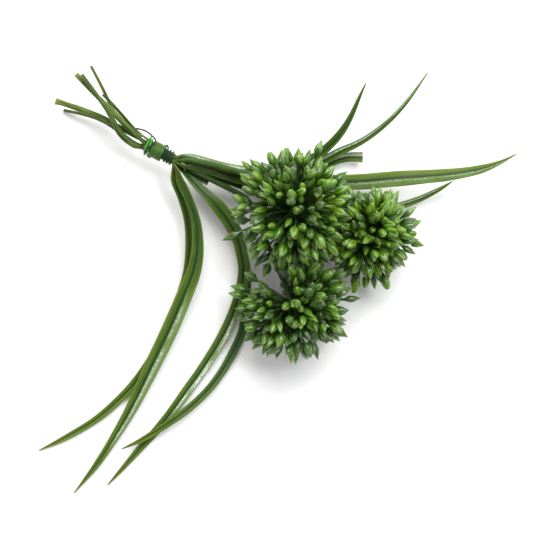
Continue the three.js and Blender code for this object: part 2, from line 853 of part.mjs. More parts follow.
function threadGeometry() {
  const rings = stationsAlong(threadRows(), 1).map((station) => roundRing(station, THREAD_SIDES));
  return loft(rings, fan(THREAD_SIDES));
}

function namedMesh(name, geometry, material) {
  const mesh = new THREE.Mesh(geometry, material);
  mesh.name = name;
  return mesh;
}

const bunch = new THREE.Group();
bunch.position.set(...BUNCH_SHIFT);
FLOWER_STEMS.forEach((stem) => bunch.add(namedMesh(stem.name, flowerStemGeometry(stem), BUD_GREEN)));
LEAVES.forEach((leaf) => bunch.add(namedMesh(leaf.name, leafGeometry(leaf), LEAF_GREEN)));
bunch.add(namedMesh("tie_band", bandGeometry(), BAND_GREEN));
bunch.add(namedMesh("tie_thread", threadGeometry(), THREAD_GREEN));

export default bunch;
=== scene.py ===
# %% [markdown]
# # A bunch of flowering chives
#
# The object is a small bunch of cut chives in bud, lying on a pale table: three flower stems with round
# heads of green buds, nine strap leaves and a broken leaf base, held by a wound strip and a thread.
# The lesson dresses a solid model that is already built. Each solid is kept for physics, and a finer
# piece of the same shape takes its place in the picture. First we load the solids.

# %% Load the solids
import json
import math
import random
from types import SimpleNamespace

import bpy
import numpy as np
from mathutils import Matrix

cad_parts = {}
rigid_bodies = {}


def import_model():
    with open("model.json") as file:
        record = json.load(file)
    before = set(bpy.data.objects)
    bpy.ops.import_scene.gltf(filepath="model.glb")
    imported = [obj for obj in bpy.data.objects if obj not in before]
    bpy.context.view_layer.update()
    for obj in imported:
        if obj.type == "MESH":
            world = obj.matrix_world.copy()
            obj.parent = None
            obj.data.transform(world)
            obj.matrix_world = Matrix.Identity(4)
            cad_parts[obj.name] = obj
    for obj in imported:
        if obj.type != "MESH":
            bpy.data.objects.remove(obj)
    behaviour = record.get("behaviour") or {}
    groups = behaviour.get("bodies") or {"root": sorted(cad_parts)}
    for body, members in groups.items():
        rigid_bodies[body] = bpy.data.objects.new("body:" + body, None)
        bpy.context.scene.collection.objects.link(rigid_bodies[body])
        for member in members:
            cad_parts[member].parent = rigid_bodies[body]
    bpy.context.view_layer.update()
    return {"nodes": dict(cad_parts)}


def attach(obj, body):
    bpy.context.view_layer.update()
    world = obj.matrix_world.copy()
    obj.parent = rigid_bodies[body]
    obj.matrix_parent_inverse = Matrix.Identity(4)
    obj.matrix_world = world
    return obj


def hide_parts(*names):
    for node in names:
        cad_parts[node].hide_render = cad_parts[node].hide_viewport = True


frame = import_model()
print("solids:", ", ".join(sorted(frame["nodes"])))

# %% [markdown]
# ## Routes
#
# A leaf or a stem is a section that travels along a smooth line. The line could be a Blender curve, but
# a blade also changes its width and its roll on the way, so each listed row holds the place and
# those values together, and one spline blends them all. The rows are in millimetres, as in the solids.

# %% A smooth route through rows of numbers
MILLIMETRE = 0.001
BUNCH_SHIFT = np.array([1.24, 1.28, -0.09])
TABLE_HEIGHT = -BUNCH_SHIFT[2]
UP = np.array([0.0, 0.0, 1.0])
SHORTEST_GAP = 0.01


def unit(vectors):
    """The same directions with length one."""
    return vectors / np.linalg.norm(vectors, axis=-1, keepdims=True)


def heading_of(numbers):
    """The direction of a row of three numbers."""
    return unit(np.array(numbers, float))


def row_at(rows, place):
    """The blended row at a place along the rows: 0 is the first row, 1 the second."""
    i = min(int(place), len(rows) - 2)
    t = place - i
    start, end = rows[i], rows[i + 1]
    before = rows[i - 1] if i > 0 else 2 * start - end
    after = rows[i + 2] if i + 2 < len(rows) else 2 * end - start
    gaps = [np.linalg.norm((b - a)[:3]) ** 0.5 for a, b in ((before, start), (start, end), (end, after))]
    d0, d1, d2 = np.maximum(gaps, SHORTEST_GAP)
    leave = ((start - before) / d0 - (end - before) / (d0 + d1) + (end - start) / d1) * d1
    arrive = ((end - start) / d1 - (after - start) / (d1 + d2) + (after - end) / d2) * d1
    square = (3 * (end - start) - 2 * leave - arrive) * t**2
    cube = (2 * (start - end) + leave + arrive) * t**3
    return start + leave * t + square + cube


def route_along(rows, steps_per_row):
    """Stations along the rows: places, directions, distance run and the blended values."""
    rows = np.array(rows, float)
    steps = (len(rows) - 1) * steps_per_row
    blended = np.array([row_at(rows, step / steps_per_row) for step in range(steps + 1)])
    places = blended[:, :3]
    tangent = unit(np.gradient(places, axis=0))
    level = unit(np.cross(tangent, UP))
    rise = np.cross(level, tangent)
    lengths = np.linalg.norm(np.diff(places, axis=0), axis=1)
    run = np.concatenate([[0], np.cumsum(lengths)])
    return SimpleNamespace(
        places=places, tangent=tangent, level=level, rise=rise, run=run, values=blended[:, 3:]
    )


# %% A mesh piece from points and faces
def placed(name, data):
    """A new object in the scene that holds this mesh, lamp or camera."""
    thing = bpy.data.objects.new(name, data)
    bpy.context.scene.collection.objects.link(thing)
    return thing


def mesh_piece(name, points, faces, attributes, material):
    """A smooth piece from points in the bunch's millimetres, with a number per point for each attribute."""
    mesh = bpy.data.meshes.new(name)
    mesh.from_pydata(((points + BUNCH_SHIFT) * MILLIMETRE).tolist(), [], faces)
    for key, values in attributes.items():
        layer = mesh.attributes.new(key, "FLOAT", "POINT")
        layer.data.foreach_set("value", np.asarray(values, np.float32))
    mesh.materials.append(material)
    mesh.shade_smooth()
    return placed(name, mesh)


def ring_faces(ring_count, ring_size):
    """Quads between closed rings of points that lie one after another."""
    faces = []
    for ring in range(ring_count - 1):
        for i in range(ring_size):
            a = ring * ring_size + i
            b = ring * ring_size + (i + 1) % ring_size
            faces.append((a, b, b + ring_size, a + ring_size))
    return faces


def capped_faces(ring_count, ring_size):
    """Quads between closed rings, and one face on each end."""
    first = range(ring_size)
    last = range((ring_count - 1) * ring_size, ring_count * ring_size)
    return ring_faces(ring_count, ring_size) + [tuple(reversed(first)), tuple(last)]


def round_number(angle):
    """A number that changes smoothly round a section, with no jump where it closes."""
    return np.cos(angle) + 2 * np.sin(angle)


def finished(piece, node):
    """The piece rides on the bunch and stands for its solid, which is hidden; its count of faces is printed.
    """
    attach(piece, "root")
    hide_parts(node)
    print(piece.name, "has", len(piece.data.polygons), "faces")


# %% [markdown]
# ## Finishes
#
# Fresh chive tissue is never one green. A leaf has fine veins along its length, paler edges and a yellower
# tip, and its finish also paints the shade of its fold beside its middle line and a reflection with glints
# on its waxy side. Painting textures by hand would tie them to one picture, so each finish is a small tree
# of nodes that reads
# numbers stored on the mesh: how far across, how far along, which tint.

# %% Short helpers for any node tree
class NodeKit:
    """A node tree and short ways to add nodes that a material and a shape can both have."""

    def __init__(self, tree):
        self.tree = tree

    def add(self, kind, inputs, output=0, **settings):
        """One output of a new node. An input is set to a value, or linked to a socket or a list of them."""
        node = self.tree.nodes.new(kind)
        for key, value in settings.items():
            setattr(node, key, value)
        for key, value in inputs.items():
            for one in value if isinstance(value, list) else [value]:
                if isinstance(one, bpy.types.NodeSocket):
                    self.tree.links.new(one, node.inputs[key])
                else:
                    node.inputs[key].default_value = one
        return node.outputs[output]

    def maths(self, operation, first, second=0.0):
        """The result of one step of arithmetic."""
        return self.add("ShaderNodeMath", {0: first, 1: second}, operation=operation)

    def times(self, first, second):
        return self.maths("MULTIPLY", first, second)

    def vector(self, x, y, z):
        return self.add("ShaderNodeCombineXYZ", {"X": x, "Y": y, "Z": z})


# %% Short helpers for building a finish
def paint(red, green, blue):
    """A screen colour from 0 to 255 as the linear colour that nodes use."""
    return tuple(((value / 255 + 0.055) / 1.055) ** 2.4 for value in (red, green, blue)) + (1.0,)


class Finish(NodeKit):
    """A material and short ways to add nodes to it."""

    def __init__(self, name):
        self.material = bpy.data.materials.new(name)
        self.material.use_nodes = True
        super().__init__(self.material.node_tree)
        self.shader = self.tree.nodes["Principled BSDF"]

    def stored(self, name):
        """The number that the mesh stores under this name."""
        return self.add("ShaderNodeAttribute", {}, "Fac", attribute_name=name)

    def spread(self, value, low, high, to_low=0.0, to_high=1.0):
        """A value from low to high, smoothly turned into one from to_low to to_high."""
        inputs = {"Value": value, 1: low, 2: high, 3: to_low, 4: to_high}
        return self.add("ShaderNodeMapRange", inputs, interpolation_type="SMOOTHSTEP")

    def noise(self, vector, scale, detail=2.0):
        return self.add("ShaderNodeTexNoise", {"Vector": vector, "Scale": scale, "Detail": detail}, "Fac")

    def place(self):
        return self.add("ShaderNodeTexCoord", {}, "Object")

    def ramp(self, value, stops):
        """A colour that changes along the value through (place, colour) stops."""
        ramped = self.add("ShaderNodeValToRGB", {"Fac": value}, "Color")
        elements = ramped.node.color_ramp.elements
        while len(elements) < len(stops):
            elements.new(1.0)
        for element, (at, colour) in zip(elements, stops):
            element.position = at
            element.color = colour
        return ramped

    def mix(self, share, first, second):
        """The first colour with a share of the second laid over it."""
        return self.add("ShaderNodeMix", {0: share, 6: first, 7: second}, 2, data_type="RGBA")

    def finish(self, colour, roughness, height, bump, shine=0.3, coat=0.0, coat_roughness=0.3):
        """Joins colour, roughness and a bumpy height in millimetres to the shader."""
        inputs = {"Height": height, "Strength": bump, "Distance": MILLIMETRE}
        normal = self.add("ShaderNodeBump", inputs, "Normal")
        for socket, value in (("Base Color", colour), ("Roughness", roughness), ("Normal", normal)):
            self.tree.links.new(value, self.shader.inputs[socket])
        self.shader.inputs["Specular IOR Level"].default_value = shine
        self.shader.inputs["Coat Weight"].default_value = coat
        self.shader.inputs["Coat Roughness"].default_value = coat_roughness
        return self.material


# %% The leaf finish
LEAF_ALONG = [
    (0.0, paint(88, 102, 36)),
    (0.15, paint(56, 82, 22)),
    (0.26, paint(62, 90, 26)),
    (0.4, paint(82, 107, 30)),
    (0.9, paint(92, 116, 34)),
    (1.0, paint(126, 134, 48)),
]
LEAF_VEIN_DARK = paint(30, 58, 8)
# Painted shade: the dark of the half of a leaf that its fold turns away from the light
LEAF_PAINTED_FOLD_SHADE = paint(14, 44, 14)
LEAF_EDGE_PALE = paint(138, 156, 62)
LEAF_DRY = paint(98, 88, 30)
# Painted reflection: the waxy side's pale colour with a reflection painted over it, then the white of its
# painted glints
PALE_SIDE_WAX_AND_REFLECTION = paint(106, 136, 80)
PAINTED_WAX_GLINT = paint(222, 230, 220)
LEAF_COOL = paint(34, 80, 52)
VEIN_RADIANS_ACROSS = 38.0
GLINT_SPECK_SCALE = 2200.0


def leaf_finish():
    """Waxy green with veins, painted shade of the fold beside the middle, a paler waxy side with a painted
    reflection and glints, dry edges and a yellower tip.
    """
    kit = Finish("chive_leaf")
    across = kit.stored("across")
    run = kit.stored("run")
    along = kit.stored("along")
    tint = kit.stored("tint")
    from_middle = kit.maths("ABSOLUTE", across)
    streak_place = kit.vector(kit.times(across, 2.4), kit.times(run, 0.03), tint)
    streak = kit.noise(streak_place, 3.0, 3.0)
    vein = kit.maths("SINE", kit.times(across, VEIN_RADIANS_ACROSS))
    cloud = kit.noise(kit.vector(across, kit.times(run, 0.06), tint), 1.6, 3.0)
    speck = kit.noise(kit.place(), GLINT_SPECK_SCALE)

    # Greens along the leaf, cooler by its tint, with dark streaks and veins
    colour = kit.ramp(along, LEAF_ALONG)
    colour = kit.mix(kit.spread(tint, 0.2, 1.0, 0.0, 0.8), colour, LEAF_COOL)
    streak_share = kit.times(kit.spread(streak, 0.35, 0.6, 1.0, 0.0), kit.spread(along, 0.2, 0.4, 0.9, 0.45))
    colour = kit.mix(streak_share, colour, LEAF_VEIN_DARK)
    colour = kit.mix(kit.spread(vein, 0.2, 1.0, 0.0, 0.2), colour, LEAF_VEIN_DARK)

    # Painted shade of the fold on one half, ending sharply at the middle line, and edges that turn pale and
    # then dry
    towards_pale = kit.times(across, kit.stored("side"))
    fold_shade_end = kit.spread(towards_pale, 0.02, 0.14, 0.88, 0.0)
    fold_shade_share = kit.times(kit.spread(towards_pale, -0.55, 0.0), fold_shade_end)
    fold_shade_share = kit.times(fold_shade_share, kit.spread(along, 0.12, 0.25, 0.3, 1.0))
    colour = kit.mix(fold_shade_share, colour, LEAF_PAINTED_FOLD_SHADE)
    colour = kit.mix(kit.spread(from_middle, 0.7, 0.95, 0.0, 0.3), colour, LEAF_EDGE_PALE)
    dry_edge = kit.times(kit.spread(from_middle, 0.86, 0.98), kit.stored("dry"))
    colour = kit.mix(dry_edge, colour, LEAF_DRY)

    # The pale side, waxy and with a painted reflection, and painted glints of wax near the middle line
    pale = kit.stored("pale")
    off_edge = kit.spread(towards_pale, 0.75, 1.0, 1.0, 0.3)
    wax_and_reflection_share = kit.times(kit.spread(towards_pale, 0.06, 0.3), off_edge)
    wax_and_reflection_share = kit.times(wax_and_reflection_share, pale)
    glint_reach = kit.times(pale, 0.55)
    near_middle = kit.spread(kit.maths("SUBTRACT", towards_pale, glint_reach), -0.1, 0.25, 1.0, 0.05)
    wax_and_highlight = kit.times(kit.times(wax_and_reflection_share, near_middle), kit.spread(cloud, 0.3, 0.52))
    painted_glint = kit.times(wax_and_highlight, kit.spread(speck, 0.4, 0.66, 0.1, 0.8))
    colour = kit.mix(kit.times(wax_and_reflection_share, 0.7), colour, PALE_SIDE_WAX_AND_REFLECTION)
    colour = kit.mix(painted_glint, colour, PAINTED_WAX_GLINT)
    roughness = kit.spread(wax_and_highlight, 0.0, 1.0, 0.3, 0.5)
    height = kit.maths("ADD", kit.times(vein, 0.05), kit.times(streak, 0.25))
    return kit.finish(colour, roughness, height, 0.35, shine=0.2, coat=0.06, coat_roughness=0.15)


LEAF_FINISH = leaf_finish()
print("finish:", LEAF_FINISH.name)

# %% The flower stem finish
STEM_ALONG = [
    (0.0, paint(132, 144, 56)),
    (0.015, paint(80, 100, 24)),
    (0.2, paint(72, 98, 20)),
    (0.34, paint(52, 80, 22)),
    (1.0, paint(46, 78, 20)),
]
STEM_DARK = paint(28, 48, 10)
# Pale ridges of a stem, partly painted highlight lines
STEM_PALE_RIDGE_AND_HIGHLIGHT = paint(138, 160, 76)
STEM_CLOUD_SCALE = 160.0


def stem_finish():
    """Olive green with fine dark ridges and pale ridges that are partly painted highlight, darker past the
    tie, darker still by painted shade on a stem in shadow, and a pale cut end.
    """
    kit = Finish("chive_stem")
    along = kit.stored("along")
    ridge_place = kit.vector(kit.times(kit.stored("around"), 2.6), kit.times(kit.stored("run"), 0.04), 0.0)
    ridge = kit.noise(ridge_place, 3.0, 3.0)
    cloud = kit.noise(kit.place(), STEM_CLOUD_SCALE)
    colour = kit.ramp(along, STEM_ALONG)
    colour = kit.mix(kit.spread(ridge, 0.36, 0.5, 0.85, 0.0), colour, STEM_DARK)
    # Pale ridges behind the tie, partly painted highlight lines
    streak_share = kit.spread(along, 0.2, 0.34, 0.65, 0.2)
    streak = kit.times(kit.spread(ridge, 0.5, 0.62, 0.0, 1.0), streak_share)
    colour = kit.mix(streak, colour, STEM_PALE_RIDGE_AND_HIGHLIGHT)
    # Painted shade: a stem that lies in shadow is drawn darker
    colour = kit.mix(kit.stored("shade"), colour, STEM_DARK)
    roughness = kit.spread(cloud, 0.3, 0.7, 0.3, 0.45)
    return kit.finish(colour, roughness, ridge, 0.3, shine=0.18, coat=0.04)


STEM_FINISH = stem_finish()
print("finish:", STEM_FINISH.name)

# %% The bud finish
# Greens from a bud's neck to its tip. The near black neck is painted shade, for the shade deep inside the
# head
BUD_GREENS_AND_NECK_SHADE = [
    (0.0, paint(8, 22, 2)),
    (0.3, paint(48, 86, 6)),
    (0.65, paint(82, 126, 18)),
    (1.0, paint(112, 146, 40)),
]
BUD_YELLOW = paint(98, 136, 8)
BUD_DEEP = paint(26, 60, 10)
BUD_SEAM = paint(6, 24, 2)
# Pale streaks of a bud, partly wax and partly painted highlight
BUD_WAX_AND_HIGHLIGHT = paint(186, 208, 150)
BUD_GRAIN_ROUND = 7.0
BUD_GRAIN_BY_TINT = 40.0


def bud_finish():
    """Glossy greens that differ from bud to bud, with painted shade at the neck, dark slits and pale streaks
    that are partly wax and partly painted highlight.
    """
    kit = Finish("chive_bud")
    along = kit.stored("along")
    seam = kit.stored("seam")
    tint = kit.stored("tint")
    grain_round = kit.times(kit.stored("around"), BUD_GRAIN_ROUND)
    grain_place = kit.vector(grain_round, along, kit.times(tint, BUD_GRAIN_BY_TINT))
    grain = kit.noise(grain_place, 2.2, 3.0)
    # The bud's greens, with painted shade towards its neck
    colour = kit.ramp(along, BUD_GREENS_AND_NECK_SHADE)
    colour = kit.mix(kit.spread(tint, 0.55, 1.0, 0.0, 0.75), colour, BUD_YELLOW)
    colour = kit.mix(kit.spread(tint, 0.0, 0.45, 0.8, 0.0), colour, BUD_DEEP)
    # Pale streaks on the upper part of a bud, partly wax and partly painted highlight
    wax_and_highlight = kit.times(kit.spread(grain, 0.52, 0.7, 0.0, 0.38), kit.spread(along, 0.25, 0.6))
    colour = kit.mix(wax_and_highlight, colour, BUD_WAX_AND_HIGHLIGHT)
    colour = kit.mix(kit.spread(seam, 0.35, 0.95, 0.0, 0.92), colour, BUD_SEAM)
    roughness = kit.spread(grain, 0.3, 0.7, 0.22, 0.38)
    return kit.finish(colour, roughness, grain, 0.25, shine=0.12, coat=0.85, coat_roughness=0.05)


BUD_FINISH = bud_finish()
print("finish:", BUD_FINISH.name)

# %% The finish of the bud stalks
PEDICEL_DARK = paint(14, 34, 4)
PEDICEL_LIGHT = paint(46, 74, 20)
PEDICEL_PATCH_SCALE = 300.0


def pedicel_finish():
    """Thin dark stalks, a little lighter in patches."""
    kit = Finish("chive_pedicel")
    patch = kit.noise(kit.place(), PEDICEL_PATCH_SCALE)
    colour = kit.ramp(patch, [(0.35, PEDICEL_DARK), (0.65, PEDICEL_LIGHT)])
    roughness = kit.spread(patch, 0.3, 0.7, 0.35, 0.55)
    return kit.finish(colour, roughness, patch, 0.2)


PEDICEL_FINISH = pedicel_finish()
print("finish:", PEDICEL_FINISH.name)

# %% The finish of the strip
BAND_DARK = paint(32, 64, 14)
BAND_LIGHT = paint(76, 114, 34)


def band_finish():
    """A smooth green strip with fine lines round it."""
    kit = Finish("tie_strip")
    line_place = kit.vector(kit.times(kit.stored("across"), 8.0), kit.times(kit.stored("run"), 0.08), 0.0)
    line = kit.noise(line_place, 2.5, 3.0)
    colour = kit.ramp(line, [(0.35, BAND_DARK), (0.7, BAND_LIGHT)])
    roughness = kit.spread(line, 0.3, 0.7, 0.3, 0.45)
    return kit.finish(colour, roughness, line, 0.3, shine=0.25)


BAND_FINISH = band_finish()
print("finish:", BAND_FINISH.name)

# %% The finish of the thread
THREAD_DARK = paint(2, 20, 6)
THREAD_LIGHT = paint(24, 70, 28)
THREAD_BRIGHT = paint(84, 186, 70)
# The stretches of the thread, in metres from its start, where its bright green comes in and fades out
BRIGHT_START = (0.056, 0.062)
BRIGHT_END = (0.1, 0.107)
THREAD_RIB_RADIANS_PER_METRE = 9000.0
THREAD_FUZZ_SCALE = 4000.0


def thread_finish():
    """A fine twisted thread: light and dark turns along its run, and one bright stretch."""
    kit = Finish("tie_twist")
    run = kit.stored("run")
    twist = kit.maths("SINE", kit.times(run, THREAD_RIB_RADIANS_PER_METRE))
    fuzz = kit.noise(kit.place(), THREAD_FUZZ_SCALE)
    light = kit.spread(kit.maths("ADD", twist, fuzz), -0.6, 1.6)
    colour = kit.ramp(light, [(0.0, THREAD_DARK), (1.0, THREAD_LIGHT)])
    bright = kit.times(kit.spread(run, *BRIGHT_START, 0.0, 0.75), kit.spread(run, *BRIGHT_END, 1.0, 0.0))
    colour = kit.mix(bright, colour, THREAD_BRIGHT)
    roughness = kit.spread(fuzz, 0.3, 0.7, 0.25, 0.42)
    return kit.finish(colour, roughness, twist, 0.3)


THREAD_FINISH = thread_finish()
print("finish:", THREAD_FINISH.name)

# %% [markdown]
# ## Camera, table and light
#
# The photo looks straight down, so the camera hangs over the table with the top of the picture towards
# +Y. A long lens from 750 mm up keeps the tall heads from leaning outwards. The table is a plain white
# sheet. A big soft panel at the top of the picture lights it, a small window gives the wax its bright
# spots, and a bright room lies round it.

# %% Camera
CAMERA_HEIGHT = 750
CAMERA_OVER = (-3.51, 6.38)
SENSOR_WIDTH = 36
VIEW_WIDTH = 223.86
VIEW_HEIGHT_LEVEL = 15

camera_data = bpy.data.cameras.new("camera")
camera_data.sensor_width = SENSOR_WIDTH
camera_data.lens = SENSOR_WIDTH * (CAMERA_HEIGHT - VIEW_HEIGHT_LEVEL) / VIEW_WIDTH
camera_data.clip_start = 0.01
camera = placed("camera", camera_data)
camera.location = [value * MILLIMETRE for value in (*CAMERA_OVER, CAMERA_HEIGHT)]
bpy.context.scene.camera = camera
bpy.context.scene.view_settings.view_transform = "Standard"
print("lens", round(camera_data.lens, 1), "mm")

# %% Table
TABLE_HALF_SIZE = 3.0
TABLE_TONES = [(0.0, (0.93, 0.93, 0.93, 1.0)), (1.0, (0.96, 0.96, 0.96, 1.0))]
TABLE_CLOUD_SCALE = 3
TABLE_ROUGHNESS = 0.8


def table_finish():
    """A white sheet with the faintest cloudy change of tone."""
    kit = Finish("white_table")
    cloud = kit.noise(kit.place(), TABLE_CLOUD_SCALE)
    kit.tree.links.new(kit.ramp(cloud, TABLE_TONES), kit.shader.inputs["Base Color"])
    kit.shader.inputs["Roughness"].default_value = TABLE_ROUGHNESS
    return kit.material


corners = [(x * TABLE_HALF_SIZE, y * TABLE_HALF_SIZE, 0) for x, y in ((-1, -1), (1, -1), (1, 1), (-1, 1))]
table_mesh = bpy.data.meshes.new("table")
table_mesh.from_pydata(corners, [], [(0, 1, 2, 3)])
table_mesh.materials.append(table_finish())
table = placed("table", table_mesh)
print("the table is", 2 * TABLE_HALF_SIZE, "m wide")

# %% Light
# Lamps are (size in metres, power in watts, place, colour)
LAMPS = {
    "soft_panel": (1.0, 24.0, (0.2, 0.8, 1.05), (1.0, 0.99, 0.98)),
    "small_window": (0.22, 3.4, (0.5, 0.25, 1.2), (0.9, 0.96, 1.0)),
}
ROOM_COLOUR = (1.0, 0.99, 0.98, 1.0)
ROOM_STRENGTH = 0.6


def lamp(name, size, power, place, colour):
    """A square lamp that faces the bunch."""
    data = bpy.data.lights.new(name, "AREA")
    data.energy = power
    data.size = size
    data.color = colour
    piece = placed(name, data)
    piece.location = place
    piece.rotation_euler = piece.location.to_track_quat("Z", "Y").to_euler()


for name, settings in LAMPS.items():
    lamp(name, *settings)
room = bpy.data.worlds.new("bright_room")
room.use_nodes = True
room.node_tree.nodes["Background"].inputs["Color"].default_value = ROOM_COLOUR
room.node_tree.nodes["Background"].inputs["Strength"].default_value = ROOM_STRENGTH
bpy.context.scene.world = room
print("light:", ", ".join(LAMPS), "and", room.name)

# %% [markdown]
# ## The tie's slots
#
# Every stem and leaf is squeezed through the tie. There the three stems lie in a triangle and the leaf
# bases lie flat in a ring round them. A slot is an angle round the tie, and a few straight rows at that
# angle keep each piece clear of its neighbours until it is out again.

# %% Rows through the tie
TIE_MIDDLE = np.array([-49.65, 53.3, 15.0])
TIE_HEADING = math.radians(-28)
TIE_ALONG = np.array([math.cos(TIE_HEADING), math.sin(TIE_HEADING), 0.0])
TIE_ACROSS = np.cross(UP, TIE_ALONG)
# Places along the tie where the slots are set, and how far they are spread there
SLOT_STATIONS = [(-7, 1.15), (-5.5, 1.1), (5.5, 0.85), (7, 0.85)]
STEM_SLOT_RADIUS = 0.95
STEM_RADIUS_IN_TIE = 0.64
LEAF_SLOT_RADIUS = 2.15
LEAF_WIDTH_IN_TIE = 0.76


def tie_point(along, radius, angle):
    """A point of the tie's own cylinder."""
    return TIE_MIDDLE + TIE_ALONG * along + radius * (TIE_ACROSS * math.cos(angle) + UP * math.sin(angle))


def slot_rows(slot, radius, *values):
    """Rows that carry a piece straight through the tie at its slot's angle in degrees."""
    angle = math.radians(slot)
    return [[*tie_point(along, spread * radius, angle), *values] for along, spread in SLOT_STATIONS]


print("the tie is", SLOT_STATIONS[-1][0] - SLOT_STATIONS[0][0], "mm long")
